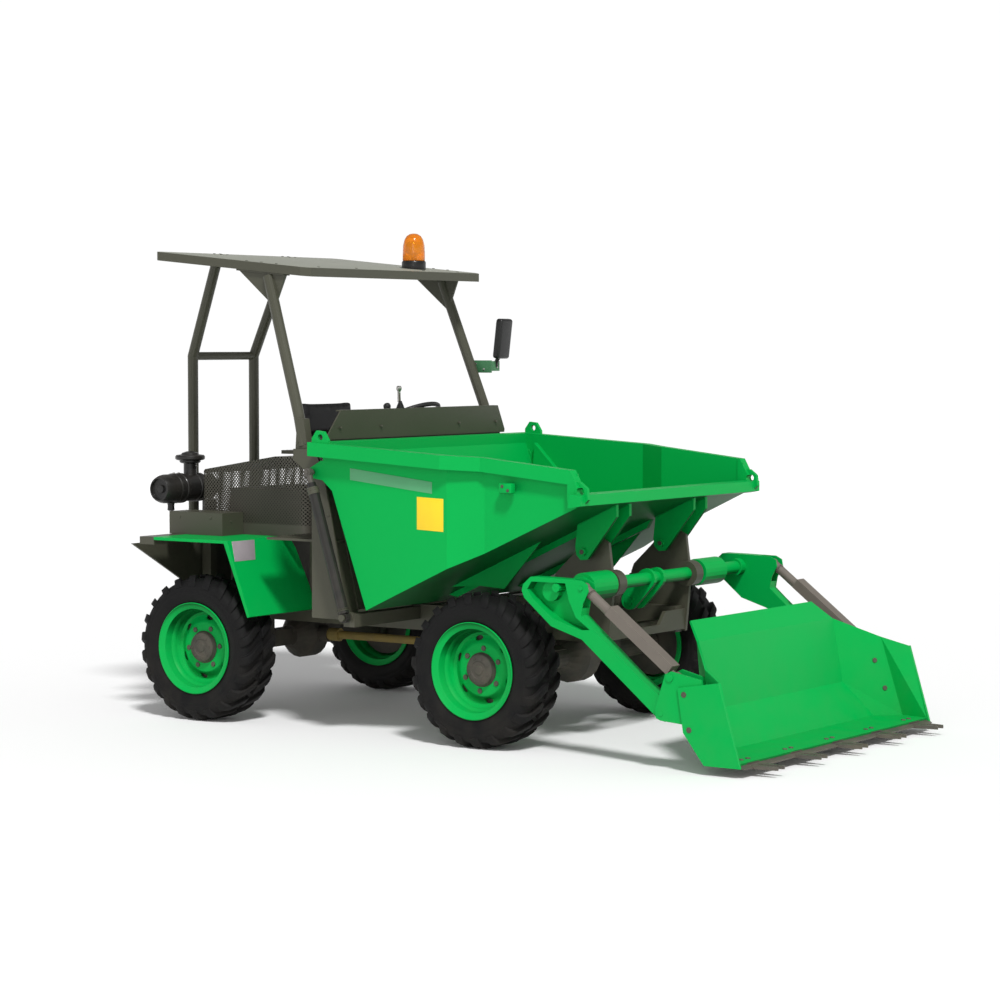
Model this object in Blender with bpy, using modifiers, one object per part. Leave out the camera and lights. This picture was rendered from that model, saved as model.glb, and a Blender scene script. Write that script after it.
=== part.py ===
"""Self-loading site dumper with a tipping skip, a loading bucket on two arms and a four-post canopy."""

import math

import bmesh
import bpy
from mathutils import Matrix, Vector

# Overall layout, metres. X forward from the rear axle, Y left, Z up from the ground.
WHEEL_R = 0.385
WHEEL_W = 0.264
WHEELBASE = 1.805
WHEEL_Y = 0.7955
HALF_WIDTH = 0.98
REAR_X = -0.60
TOOTH_TIP_X = 3.495
TOUCH = 0.0003
X_SHIFT = -(REAR_X + TOOTH_TIP_X) / 2

# Wheels
RIM_R = 0.242
RIM_SEAT_R = 0.216
RIM_HALF = 0.122
RIM_WALL = 0.010
DISC_AT = 0.004
HUB_R = 0.080
HUB_OUT = 0.060
HUB_BACK = 0.030
SPINDLE_R = 0.026
SPINDLE_IN = 0.020
RUNNING = 0.001
WHEEL_SIDES = 28
HAND_HOLES = 6

# Axles and steering
BEAM = 0.045
KINGPIN_Y = 0.725
KINGPIN_R = 0.016
YOKE_Z = 0.062
YOKE_T = 0.018
YOKE_R = 0.032
STEER_ARM = 0.120
TOE_IN = 0.030
DIFF_R = 0.125
SHAFT_R = 0.0225
SHAFT_Z = 0.395

# Chassis
RAIL_IN = 0.300
RAIL_OUT = 0.360
RAIL_LO = 0.500
RAIL_HI = 0.635
RAIL_REAR = -0.440
CROSS_T = 0.020
TOWER_X = 2.260
DECK_Z = 0.966
DECK_T = 0.014
SHEET = 0.006

# Skip
HINGE_X = 2.150
HINGE_Z = 0.960
HINGE_PIN_R = 0.020
APEX_X = 1.157
APEX_Z = 0.650
SKIP_REAR_X = 0.868
LIP_X = 2.360
LIP_Z = 1.207
SKIP_T = 0.010
PANEL_Y = 0.921
WAIST_Y = 0.838
NOSE_Y = 0.805
RIM_H = 0.070
RIM_TOP_REAR = 1.495
RIM_TOP_MID = 1.447
RIM_TOP_NOSE = 1.386
RIM_REAR_X = 0.828
MID_X = 1.660
WAIST_X = 1.830
NOSE_X = 2.334
RIM_WAIST_Y = 0.880
RIM_NOSE_Y = 0.844
LIP_HALF = 0.868
EAR_IN = 0.300
EAR_OUT = 0.440
EAR_T = 0.020
TOWER_IN = 0.3603
TOWER_T = 0.0194

# Loader
TUBE_X = 2.280
TUBE_Z = 0.805
TUBE_R = 0.034
COLLAR_R = 0.066
ARM_IN = 0.880
ARM_OUT = 0.950
ARM_MID = (ARM_IN + ARM_OUT) / 2
HEAD_X = 2.470
HEAD_Z = 0.830
BUCKET_X = 2.930
BUCKET_Z = 0.270
ROD_PIN_X = 2.980
ROD_PIN_Z = 0.440
LOADER_PIN_R = 0.011
PIN_GAP = 0.0006
BUCKET_Y = 0.985
BUCKET_T = 0.010
EDGE_X = 3.345
INNER_LOW_X = 3.1285
INNER_HIGH_X = 3.1115
LIFT_BASE_X = 1.620
LIFT_BASE_Z = 0.620
LEVER_X = 2.180
LEVER_Z = 0.690

# Tipping cylinders
TIP_Y = 0.957
TIP_BASE_X = 1.050
TIP_BASE_Z = 0.610
TIP_TOP_X = 0.820
TIP_TOP_Z = 1.340
TIP_BARREL_R = 0.028
TIP_STAGE_R = 0.022
TIP_ROD_R = 0.016

# Operator's place and canopy
COWL_X = 1.000
COWL_Z = 0.640
COWL_TOP_X = 0.795
COWL_TOP_Z = 1.500
COWL_HALF = 0.885
ROOF_REAR_X = -0.384
ROOF_FRONT_X = 0.674
ROOF_HALF = 0.790
ROOF_REAR_Z = 2.488
ROOF_FRONT_Z = 2.385
ROOF_T = 0.045
POST_R = 0.029
BEACON_R = 0.0675

GREEN = ("skip_green", (0.0, 0.45, 0.08), 0.35, 0.0)
DARK = ("umbra_grey", (0.075, 0.075, 0.055), 0.5, 0.0)
BLACK = ("black", (0.012, 0.012, 0.012), 0.6, 0.0)
RUBBER = ("tyre_rubber", (0.018, 0.018, 0.018), 0.85, 0.0)
GUARD = ("guard_brown", (0.16, 0.14, 0.11), 0.5, 0.2)
STEEL = ("worn_steel", (0.22, 0.21, 0.19), 0.45, 0.8)
CHROME = ("chrome_rod", (0.7, 0.7, 0.7), 0.15, 1.0)
AMBER = ("amber", (0.9, 0.30, 0.02), 0.25, 0.0)
VINYL = ("seat_vinyl", (0.02, 0.02, 0.02), 0.6, 0.0)
SHAFT = ("shaft_ochre", (0.30, 0.24, 0.08), 0.6, 0.1)

for old in list(bpy.data.objects):
    bpy.data.objects.remove(old)

PARTS = bpy.data.collections.new("site_dumper")
bpy.context.scene.collection.children.link(PARTS)
SHAPES = bpy.data.collections.new("shapes")
bpy.context.scene.collection.children.link(SHAPES)


def paint(look):
    """The Principled material of this look, made once."""
    name, colour, rough, metal = look
    found = bpy.data.materials.get(name)
    if found:
        return found
    made = bpy.data.materials.new(name)
    made.use_nodes = True
    shader = made.node_tree.nodes["Principled BSDF"]
    shader.inputs["Base Color"].default_value = (*colour, 1)
    shader.inputs["Roughness"].default_value = rough
    shader.inputs["Metallic"].default_value = metal
    return made


def shape(form):
    """A hidden working object that holds this bmesh, with its faces turned out."""
    bmesh.ops.remove_doubles(form, verts=form.verts, dist=1e-6)
    bmesh.ops.recalc_face_normals(form, faces=form.faces)
    mesh = bpy.data.meshes.new("shape")
    form.to_mesh(mesh)
    form.free()
    made = bpy.data.objects.new("shape", mesh)
    made.hide_render = True
    made.display_type = "WIRE"
    SHAPES.objects.link(made)
    return made


def prism(outline, lo, hi, across="y"):
    """A flat outline given in the other two axes, extruded from lo to hi along one axis."""
    place = {
        "x": lambda a, b, t: (t, a, b),
        "y": lambda a, b, t: (a, t, b),
        "z": lambda a, b, t: (a, b, t),
    }[across]
    form = bmesh.new()
    ends = []
    for level in (lo, hi):
        ends.append([form.verts.new(place(a, b, level)) for a, b in outline])
    form.faces.new(ends[0])
    form.faces.new(ends[1][::-1])
    count = len(outline)
    for i in range(count):
        j = (i + 1) % count
        form.faces.new((ends[0][i], ends[0][j], ends[1][j], ends[1][i]))
    return shape(form)


def box(lo, hi):
    """A block between two corners."""
    return prism([(lo[0], lo[1]), (hi[0], lo[1]), (hi[0], hi[1]), (lo[0], hi[1])], lo[2], hi[2], "z")


def lathe(profile, start, along, sides=24):
    """A profile of (radius, distance) points turned about the axis from start along a direction."""
    axis = Vector(along).normalized()
    side = axis.orthogonal().normalized()
    if abs(axis.z) < 0.9:
        side = axis.cross(Vector((0, 0, 1))).normalized()
    up = axis.cross(side)
    form = bmesh.new()
    rings = []
    for radius, distance in profile:
        centre = Vector(start) + axis * distance
        if radius < 1e-7:
            rings.append([form.verts.new(centre)])
            continue
        ring = []
        for k in range(sides):
            turn = 2 * math.pi * k / sides
            ring.append(form.verts.new(centre + radius * (side * math.cos(turn) + up * math.sin(turn))))
        rings.append(ring)
    closed = profile[0][0] > 1e-7
    pairs = list(zip(rings, rings[1:]))
    if closed:
        pairs.append((rings[-1], rings[0]))
    for first, second in pairs:
        for k in range(sides):
            corners = []
            n = (k + 1) % sides
            for v in (first[k % len(first)], first[n % len(first)], second[n % len(second)],
                second[k % len(second)]):
                if v not in corners:
                    corners.append(v)
            if len(corners) > 2:
                form.faces.new(corners)
    return shape(form)


def rod(p, q, radius, sides=16):
    """A solid round bar between two points."""
    length = (Vector(q) - Vector(p)).length
    return lathe([(0, 0), (radius, 0), (radius, length), (0, length)], p, Vector(q) - Vector(p), sides)


def pipe_run(points, radius, sides=10):
    """Round bars through the points, with a ball at each bend."""
    pieces = []
    for p, q in zip(points, points[1:]):
        pieces.append(rod(p, q, radius, sides))
    for p in points[1:-1]:
        pieces.append(ball(p, radius * 1.02, sides))
    return pieces


def ball(centre, radius, sides=16):
    """A ball turned about the vertical."""
    profile = []
    steps = max(4, sides // 2)
    for k in range(steps + 1):
        turn = math.pi * k / steps
        profile.append((radius * math.sin(turn) if 0 < k < steps else 0, -radius * math.cos(turn)))
    return lathe(profile, centre, (0, 0, 1), sides)


def disc(x, z, radius, y0, y1, sides=24):
    """A round slab across the machine."""
    return rod((x, y0, z), (x, y1, z), radius, sides)


def link(p, q, rp, rq, y0, y1, steps=8):
    """A flat link with round ends about two (x, z) points."""
    p = Vector(p)
    q = Vector(q)
    heading = math.atan2(q.y - p.y, q.x - p.x)
    lean = math.asin((rp - rq) / (q - p).length)
    outline = []
    for centre, radius, begin, end in (
        (q, rq, -math.pi / 2 + lean, math.pi / 2 - lean),
        (p, rp, math.pi / 2 - lean, 3 * math.pi / 2 + lean),
    ):
        for k in range(steps + 1):
            turn = heading + begin + (end - begin) * k / steps
            outline.append((centre.x + radius * math.cos(turn), centre.y + radius * math.sin(turn)))
    return prism(outline, y0, y1)


def bar_frame(p, q, lo, hi, y0, y1, start, end):
    """A slab laid along the line from p to q in the XZ plane, between two distances off that line."""
    p = Vector(p)
    run = (Vector(q) - p).normalized()
    off = Vector((-run.y, run.x))
    corners = [p + run * start + off * lo, p + run * end + off * lo, p + run * end + off * hi,
        p + run * start + off * hi]
    return prism([tuple(c) for c in corners], y0, y1)


def sheet_from(rows, thickness, inward=True):
    """An open sheet of faces, given as lists of points, made solid by its thickness."""
    form = bmesh.new()
    known = {}
    for face in rows:
        corners = []
        for point in face:
            key = tuple(round(v, 6) for v in point)
            if key not in known:
                known[key] = form.verts.new(point)
            corners.append(known[key])
        form.faces.new(corners)
    bmesh.ops.recalc_face_normals(form, faces=form.faces)
    mesh = bpy.data.meshes.new("sheet")
    form.to_mesh(mesh)
    form.free()
    made = bpy.data.objects.new("sheet", mesh)
    SHAPES.objects.link(made)
    solid = made.modifiers.new("thickness", "SOLIDIFY")
    solid.thickness = thickness
    solid.offset = -1 if inward else 1
    solid.use_even_offset = True
    return settle(made)


def settle(made):
    """The same object with its modifiers worked into its mesh."""
    graph = bpy.context.evaluated_depsgraph_get()
    mesh = bpy.data.meshes.new_from_object(made.evaluated_get(graph))
    made.modifiers.clear()
    made.data = mesh
    form = bmesh.new()
    form.from_mesh(mesh)
    bmesh.ops.remove_doubles(form, verts=form.verts, dist=1e-6)
    bmesh.ops.recalc_face_normals(form, faces=form.faces)
    form.to_mesh(mesh)
    form.free()
    made.hide_render = True
    made.display_type = "WIRE"
    return made


def combine(first, others, operation):
    """The first shape after a Boolean with each of the others."""
    for other in others:
        step = first.modifiers.new("step", "BOOLEAN")
        step.operation = operation
        step.solver = "EXACT"
        step.object = other
    if others:
        settle(first)
    for other in others:
        bpy.data.objects.remove(other)
    return first


def node(name, look, pieces, cuts=(), pivot=(0, 0, 0)):
    """One named piece: its shapes joined, its cuts taken out, its origin on its joint or at the rear axle."""
    made = combine(pieces[0], pieces[1:], "UNION")
    made = combine(made, list(cuts), "DIFFERENCE")
    SHAPES.objects.unlink(made)
    PARTS.objects.link(made)
    made.name = name
    made.data.name = name
    made.hide_render = False
    made.display_type = "TEXTURED"
    made.data.materials.clear()
    made.data.materials.append(paint(look))
    made.data.transform(Matrix.Translation(-Vector(pivot)))
    made.location = Vector(pivot) + Vector((X_SHIFT, 0, 0))
    return made


# Wheels: a lugged tyre on a dished rim, which runs on a short spindle.
def wheel(tag, x, side):
    centre = (x, side * WHEEL_Y, WHEEL_R)
    out = (0, side, 0)
    half = WHEEL_W / 2
    tyre = [
        (RIM_SEAT_R + TOUCH, -RIM_HALF + 0.012),
        (RIM_SEAT_R + TOUCH, RIM_HALF - 0.012),
        (RIM_R + 0.004, RIM_HALF - 0.014),
        (0.292, half),
        (0.340, half - 0.004),
        (0.372, half - 0.022),
        (WHEEL_R, half - 0.040),
        (WHEEL_R, -half + 0.040),
        (0.372, -half + 0.022),
        (0.340, -half + 0.004),
        (0.292, -half),
        (RIM_R + 0.004, -RIM_HALF + 0.014),
    ]
    node("tyre_" + tag, RUBBER, [lathe(tyre, centre, out, WHEEL_SIDES)], pivot=centre)
    bore = SPINDLE_R + RUNNING
    flange_in = RIM_HALF - 0.012 + TOUCH
    rim = [
        (bore, -HUB_BACK),
        (HUB_R * 0.8, -HUB_BACK),
        (HUB_R, -DISC_AT - 0.004),
        (RIM_SEAT_R - RIM_WALL - 0.022, -DISC_AT - 0.004),
        (RIM_SEAT_R - RIM_WALL, -DISC_AT - 0.030),
        (RIM_SEAT_R - RIM_WALL, -RIM_HALF + 0.022),
        (RIM_R - 0.008, -RIM_HALF),
        (RIM_R - 0.001, -flange_in),
        (RIM_SEAT_R, -flange_in),
        (RIM_SEAT_R, flange_in),
        (RIM_R - 0.001, flange_in),
        (RIM_R, RIM_HALF - 0.002),
        (RIM_R - 0.012, RIM_HALF),
        (RIM_SEAT_R - RIM_WALL, RIM_HALF - 0.022),
        (RIM_SEAT_R - RIM_WALL - 0.010, 0.030),
        (RIM_SEAT_R - RIM_WALL - 0.034, DISC_AT + 0.004),
        (HUB_R + 0.006, DISC_AT + 0.006),
        (HUB_R - 0.004, HUB_OUT - 0.006),
        (HUB_R * 0.55, HUB_OUT),
        (0, HUB_OUT),
        (0, SPINDLE_IN + 0.002),
        (bore, SPINDLE_IN + 0.002),
    ]
    body = lathe_open(rim, centre, out, WHEEL_SIDES)
    holes = []
    ring = HUB_R + 0.074
    for k in range(HAND_HOLES):
        turn = 2 * math.pi * (k + 0.51) / HAND_HOLES
        x0 = centre[0] + ring * math.cos(turn)
        z0 = centre[2] + ring * math.sin(turn)
        low = centre[1] - 0.03
        holes.append(rod((x0, low, z0), (x0, low + 0.06, z0), 0.017, 6))
    node("rim_" + tag, GREEN, [body], holes, pivot=centre)


def lathe_open(profile, start, along, sides):
    """A turned solid whose profile leaves the axis once and comes back to its own start."""
    low = [i for i, (radius, _) in enumerate(profile) if radius < 1e-7]
    turned = profile[low[1]:] + profile[: low[0] + 1]
    return lathe(turned, start, along, sides)


for tag, x, side in (("fl", WHEELBASE, 1), ("fr", WHEELBASE, -1), ("rl", 0, 1), ("rr", 0, -1)):
    wheel(tag, x, side)

# Rear axle: a beam with the differential in the middle and a fork for each kingpin.
pieces = [box((-BEAM, -0.62, WHEEL_R - BEAM), (BEAM, 0.62, WHEEL_R + BEAM))]
pieces.append(lathe([(0, -0.14), (0.06, -0.14), (DIFF_R, -0.05), (DIFF_R, 0.05), (0.06, 0.14), (0, 0.14)],
                    (0.02, 0, WHEEL_R), (0, 1, 0), 20))
pieces.append(rod((0.02, 0, SHAFT_Z), (0.20, 0, SHAFT_Z), 0.045, 16))
for side in (1, -1):
    pieces.append(box((-0.026, min(side * 0.60, side * 0.672), WHEEL_R - YOKE_Z - YOKE_T),
                      (0.026, max(side * 0.60, side * 0.672), WHEEL_R + YOKE_Z + YOKE_T)))
    for z in (WHEEL_R - YOKE_Z - YOKE_T, WHEEL_R + YOKE_Z):
        pieces.append(box((-YOKE_R + 0.002, min(side * 0.66, side * KINGPIN_Y), z),
                          (YOKE_R - 0.002, max(side * 0.66, side * KINGPIN_Y), z + YOKE_T)))
        pieces.append(rod((0, side * KINGPIN_Y, z), (0, side * KINGPIN_Y, z + YOKE_T), YOKE_R))
    pieces.append(box((-0.05, min(side * RAIL_IN, side * RAIL_OUT), WHEEL_R),
                      (0.05, max(side * RAIL_IN, side * RAIL_OUT), RAIL_LO - TOUCH)))
node("rear_axle", DARK, pieces)

# Steering knuckles: a barrel in the fork, the wheel's spindle and an arm to the tie rod.
for tag, side in (("l", 1), ("r", -1)):
    at = (0, side * KINGPIN_Y, WHEEL_R)
    reach = YOKE_Z - 0.0005
    pieces = [rod((0, at[1], WHEEL_R - reach), (0, at[1], WHEEL_R + reach), 0.030)]
    pieces.append(rod((0, at[1], WHEEL_R), (0, side * (WHEEL_Y + SPINDLE_IN), WHEEL_R), SPINDLE_R))
    pieces.append(prism([(0, side * (KINGPIN_Y - 0.015)), (0, side * (KINGPIN_Y + 0.015)),
                         (-STEER_ARM - 0.02, side * (KINGPIN_Y - TOE_IN + 0.015)),
                         (-STEER_ARM - 0.02, side * (KINGPIN_Y - TOE_IN - 0.015))],
                        WHEEL_R - 0.010, WHEEL_R + 0.010, "z"))
    node("knuckle_" + tag, DARK, pieces, pivot=at)

tie_y = KINGPIN_Y - TOE_IN
pieces = [rod((-STEER_ARM, -tie_y, WHEEL_R - 0.026), (-STEER_ARM, tie_y, WHEEL_R - 0.026), 0.013, 12)]
for side in (1, -1):
    pieces.append(rod((-STEER_ARM, side * (tie_y - 0.001), WHEEL_R - 0.042),
                      (-STEER_ARM, side * (tie_y - 0.001), WHEEL_R - 0.0105), 0.018, 12))
node("tie_rod", DARK, pieces)

# Front axle: a fixed beam with its differential and spindles.
spindle = WHEEL_Y + SPINDLE_IN
pieces = [box((WHEELBASE - BEAM, -0.68, WHEEL_R - BEAM), (WHEELBASE + BEAM, 0.68, WHEEL_R + BEAM))]
pieces.append(rod((WHEELBASE, -spindle, WHEEL_R), (WHEELBASE, spindle, WHEEL_R), SPINDLE_R))
pieces.append(rod((WHEELBASE, -0.74, WHEEL_R), (WHEELBASE, 0.74, WHEEL_R), 0.060, 20))
pieces.append(lathe([(0, -0.16), (0.07, -0.16), (DIFF_R + 0.02, -0.05), (DIFF_R + 0.02, 0.05),
    (0.07, 0.16), (0, 0.16)],
                    (WHEELBASE - 0.02, 0.02, WHEEL_R), (0, 1, 0), 20))
pieces.append(rod((WHEELBASE - 0.22, 0, SHAFT_Z), (WHEELBASE, 0, SHAFT_Z), 0.045, 16))
for side in (1, -1):
    pieces.append(box((WHEELBASE - 0.06, min(side * RAIL_IN, side * RAIL_OUT), WHEEL_R),
                      (WHEELBASE + 0.06, max(side * RAIL_IN, side * RAIL_OUT), RAIL_LO - TOUCH)))
node("front_axle", DARK, pieces)

shaft_start = 0.20 + TOUCH
shaft_end = WHEELBASE - 0.22 - TOUCH
shaft_len = shaft_end - shaft_start
pieces = [lathe([(0, 0), (0.036, 0), (0.036, 0.07), (SHAFT_R, 0.07), (SHAFT_R, shaft_len - 0.07),
    (0.036, shaft_len - 0.07),
                 (0.036, shaft_len), (0, shaft_len)], (shaft_start, 0, SHAFT_Z), (1, 0, 0), 14)]
node("drive_shaft", SHAFT, pieces)

# Chassis: two box rails, cross members, and outriggers that carry the tipping cylinders.
rail_front = TOWER_X - CROSS_T - TOUCH
pieces = []
for side in (1, -1):
    lo, hi = sorted((side * RAIL_IN, side * RAIL_OUT))
    pieces.append(box((RAIL_REAR, lo, RAIL_LO), (rail_front, hi, RAIL_HI)))
for x0, x1, z0, z1 in ((-0.42, -0.36, 0.52, 0.62), (0.42, 0.50, 0.51, 0.60), (1.02, 1.08, 0.550, 0.620),
                       (1.555, 1.625, 0.505, 0.570), (2.10, 2.16, 0.51, 0.56)):
    pieces.append(box((x0, -RAIL_IN - 0.01, z0), (x1, RAIL_IN + 0.01, z1)))
pin_out = TIP_Y + 0.032
for side in (1, -1):
    lo, hi = sorted((side * (RAIL_OUT - 0.01), side * (TIP_Y - 0.034)))
    pieces.append(box((1.015, lo, 0.560), (1.085, hi, 0.625)))
    reach = pin_out - 0.90
    pieces.append(lathe([(0, 0), (0.026, 0), (0.026, 0.027), (0.013, 0.027), (0.013, reach - 0.010),
        (0.018, reach - 0.010),
                         (0.018, reach), (0, reach)], (TIP_BASE_X, side * 0.90, TIP_BASE_Z), (0, side, 0),
                             16))
    pieces.append(link((LIFT_BASE_X, LIFT_BASE_Z), (LIFT_BASE_X - 0.03, 0.56), 0.030, 0.030,
                       *sorted((side * 0.044, side * 0.060))))
pieces.append(rod((LIFT_BASE_X, -0.058, LIFT_BASE_Z), (LIFT_BASE_X, 0.058, LIFT_BASE_Z), 0.014))
node("chassis_frame", DARK, pieces)

# Front tower: two hinge plates outside the rails, a cross plate and the cross tube's bearings.
tower = [(1.93, 0.505), (2.262, 0.505), (2.290, 0.80), (2.262, 1.005), (2.205, 1.035), (2.12, 1.025),
    (2.06, 0.95), (1.945, 0.84), (1.93, 0.80)]
pieces = []
for side in (1, -1):
    lo, hi = sorted((side * TOWER_IN, side * (TOWER_IN + TOWER_T)))
    pieces.append(prism(tower, lo, hi))
    mid = TOWER_IN + TOWER_T / 2
    pieces.append(disc(TUBE_X, TUBE_Z, COLLAR_R, side * (mid - 0.0335), side * (mid + 0.0335)))
plate_y = TOWER_IN + 0.01
pieces.append(prism([(-plate_y, 0.515), (plate_y, 0.515), (plate_y, 0.620), (0.17, 0.620), (0.11, 0.555),
                     (-0.11, 0.555), (-0.17, 0.620), (-plate_y, 0.620)], TOWER_X - CROSS_T, TOWER_X, "x"))
cuts = [disc(TUBE_X, TUBE_Z, TUBE_R + RUNNING, -0.45, 0.45),
    disc(HINGE_X, HINGE_Z, HINGE_PIN_R + RUNNING, -0.45, 0.45, 16)]
node("front_tower", DARK, pieces, cuts)


# Skip: a wedge-shaped open body with a box rim, hinge ears, lifting eyes and lugs for the cylinders.
def half_plan(points):
    """A closed plan from the points of one side, front to rear, and their mirror."""
    return [(x, y) for x, y in points] + [(x, -y) for x, y in reversed(points)]


def shifted(a, b, distance):
    """The line from a to b moved to its left by a distance."""
    a = Vector(a)
    b = Vector(b)
    run = (b - a).normalized()
    off = Vector((-run.y, run.x)) * distance
    return a + off, b + off


def crossing(first, second):
    """Where two lines, each through two points, meet."""
    p, q = first
    r, s = second
    d = q - p
    e = s - r
    t = ((r.x - p.x) * e.y - (r.y - p.y) * e.x) / (d.x * e.y - d.y * e.x)
    return p + d * t


def between(side, a, b):
    """The two distances off the middle line, on this side, lowest first."""
    return sorted((side * a, side * b))


slope = (LIP_Z - APEX_Z) / (LIP_X - APEX_X)


def floor_z(x):
    """The underside of the skip's floor."""
    return APEX_Z + slope * (x - APEX_X)


rear_top = (SKIP_REAR_X, 1.45)
apex = (APEX_X, APEX_Z)
lip = (LIP_X, LIP_Z)
outer = [rear_top, apex, lip, (NOSE_X + 0.02, RIM_TOP_NOSE - 0.02), (WAIST_X, 1.41), (MID_X, 1.42)]
rear_line = shifted(rear_top, apex, SKIP_T)
floor_line = shifted(apex, lip, SKIP_T)
inner_apex = crossing(rear_line, floor_line)
inner_top = rear_line[0] + (rear_line[0] - rear_line[1]) * 0.3
inner_lip = floor_line[1] + (floor_line[1] - floor_line[0]) * 0.1
inner = [tuple(inner_top), tuple(inner_apex), tuple(inner_lip), (inner_lip.x, 1.70)]
panel_plan = half_plan([(LIP_X + 0.10, NOSE_Y - 0.006), (NOSE_X, NOSE_Y), (WAIST_X, WAIST_Y),
    (MID_X, PANEL_Y), (0.60, PANEL_Y)])
hollow_plan = half_plan([(LIP_X + 0.30, NOSE_Y - 0.020), (NOSE_X, NOSE_Y - SKIP_T),
    (WAIST_X - 0.003, WAIST_Y - SKIP_T), (MID_X - 0.003, PANEL_Y - SKIP_T), (0.50, PANEL_Y - SKIP_T)])
body = combine(prism(outer, -1.1, 1.1), [prism(panel_plan, 0.4, 1.8, "z")], "INTERSECT")
hollow = combine(prism(inner, -1.05, 1.05), [prism(hollow_plan, 0.3, 1.9, "z")], "INTERSECT")
body = combine(body, [hollow], "DIFFERENCE")

rim_plan = half_plan([(NOSE_X, RIM_NOSE_Y), (WAIST_X, RIM_WAIST_Y), (MID_X, HALF_WIDTH),
    (RIM_REAR_X, HALF_WIDTH)])
mouth_plan = half_plan([(NOSE_X + 0.1, NOSE_Y - SKIP_T - 0.004), (NOSE_X, NOSE_Y - SKIP_T),
    (WAIST_X - 0.003, WAIST_Y - SKIP_T),
                        (MID_X - 0.003, PANEL_Y - SKIP_T), (RIM_REAR_X + 0.055, PANEL_Y - SKIP_T)])
top_line = [(RIM_REAR_X - 0.05, RIM_TOP_REAR), (RIM_REAR_X, RIM_TOP_REAR), (MID_X, RIM_TOP_MID),
    (WAIST_X, RIM_TOP_MID - 0.010),
            (NOSE_X, RIM_TOP_NOSE), (NOSE_X + 0.05, RIM_TOP_NOSE - 0.006)]
band = top_line + [(x, z - RIM_H) for x, z in reversed(top_line)]
rim = combine(prism(rim_plan, 1.0, 1.8, "z"), [prism(mouth_plan, 0.9, 1.9, "z")], "DIFFERENCE")
rim = combine(rim, [prism(band, -1.1, 1.1)], "INTERSECT")

pieces = [body, rim]
pieces.append(prism([(2.338, 1.205), (2.360, 1.205), (2.412, 1.215), (2.412, 1.268), (2.350, 1.272),
    (2.338, 1.215)], -LIP_HALF, LIP_HALF))
cheek = [(2.320, 1.225), (2.345, 1.208), (2.412, 1.215), (2.414, 1.245), (2.336, 1.386), (2.320, 1.384)]
ear = [(2.103, 0.985), (2.108, 0.945), (2.135, 0.918), (2.175, 0.922), (2.345, 1.140),
    (2.345, floor_z(2.345) + 0.004), (2.115, floor_z(2.115) + 0.004)]
web = [(1.36, floor_z(1.36) + 0.004), (1.53, 0.765), (1.70, 0.755), (1.93, floor_z(1.93) + 0.004)]
rib = [(1.24, floor_z(1.24) + 0.004), (1.30, floor_z(1.30) - 0.035), (2.06, floor_z(2.06) - 0.035),
    (2.09, floor_z(2.09) + 0.004)]
for side in (1, -1):
    pieces.append(prism(cheek, *between(side, NOSE_Y - 0.014, RIM_NOSE_Y)))
    pieces.append(prism(ear, *between(side, EAR_IN, EAR_IN + EAR_T)))
    pieces.append(prism(ear, *between(side, EAR_OUT - EAR_T, EAR_OUT)))
    pieces.append(disc(HINGE_X, HINGE_Z, HINGE_PIN_R, side * (EAR_IN - 0.012), side * (EAR_OUT + 0.014),
        16))
    pieces.append(prism(web, *between(side, 0.470, 0.480)))
    pieces.append(prism(rib, *between(side, 0.300, 0.330)))
    lug = [(0.790, 1.325), (0.805, 1.310), (0.880, 1.300), (0.950, 1.240), (0.950, 1.330), (0.905, 1.400),
        (0.870, 1.400), (0.800, 1.362)]
    pieces.append(prism(lug, *between(side, PANEL_Y - 0.014, PANEL_Y)))
    pieces.append(disc(TIP_TOP_X, TIP_TOP_Z, 0.019, side * (PANEL_Y - 0.024), side * (PANEL_Y - 0.004),
        12))
    pieces.append(prism([(0.850, 1.47), (0.955, 1.47), (0.955, 1.505), (0.925, 1.550), (0.880, 1.555),
        (0.850, 1.515)], *between(side, 0.950, 0.970)))
    pieces.append(prism([(2.345, 1.23), (2.400, 1.215), (2.432, 1.245), (2.425, 1.300), (2.385, 1.330),
        (2.345, 1.330)], *between(side, 0.810, 0.830)))
    pieces.append(prism([(0.950, 1.30), (1.10, 1.30), (0.96, 1.44)], *between(side, 0.880, 0.915)))
cuts = []
for side in (1, -1):
    cuts.append(disc(0.905, 1.520, 0.016, side * 0.90, side * 1.0, 12))
    cuts.append(disc(2.392, 1.285, 0.018, side * 0.70, side * 0.90, 12))
node("skip", GREEN, pieces, cuts, pivot=(HINGE_X, 0, HINGE_Z))

# Loader: a cross tube in the tower's bearings, turned by a lever in the middle, with an arm at each end.
pieces = [disc(TUBE_X, TUBE_Z, TUBE_R, -(ARM_IN - 0.010), ARM_IN - 0.010, 20)]
for side in (1, -1):
    pieces.append(disc(TUBE_X, TUBE_Z, 0.070, side * 0.425, side * 0.640, 22))
    pieces.append(disc(TUBE_X, TUBE_Z, 0.050, side * 0.635, side * 0.665, 18))
    pieces.append(disc(TUBE_X, TUBE_Z, 0.046, side * (ARM_IN - 0.045), side * (ARM_IN - TOUCH), 20))
    pieces.append(link((TUBE_X, TUBE_Z), (LEVER_X, LEVER_Z), 0.052, 0.048,
        *sorted((side * 0.034, side * 0.056))))
for side in (1, -1):
    pieces.append(disc(LEVER_X, LEVER_Z, 0.024, side * 0.052, side * 0.064, 14))
node("cross_tube", GREEN, pieces, pivot=(TUBE_X, 0, TUBE_Z))

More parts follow.
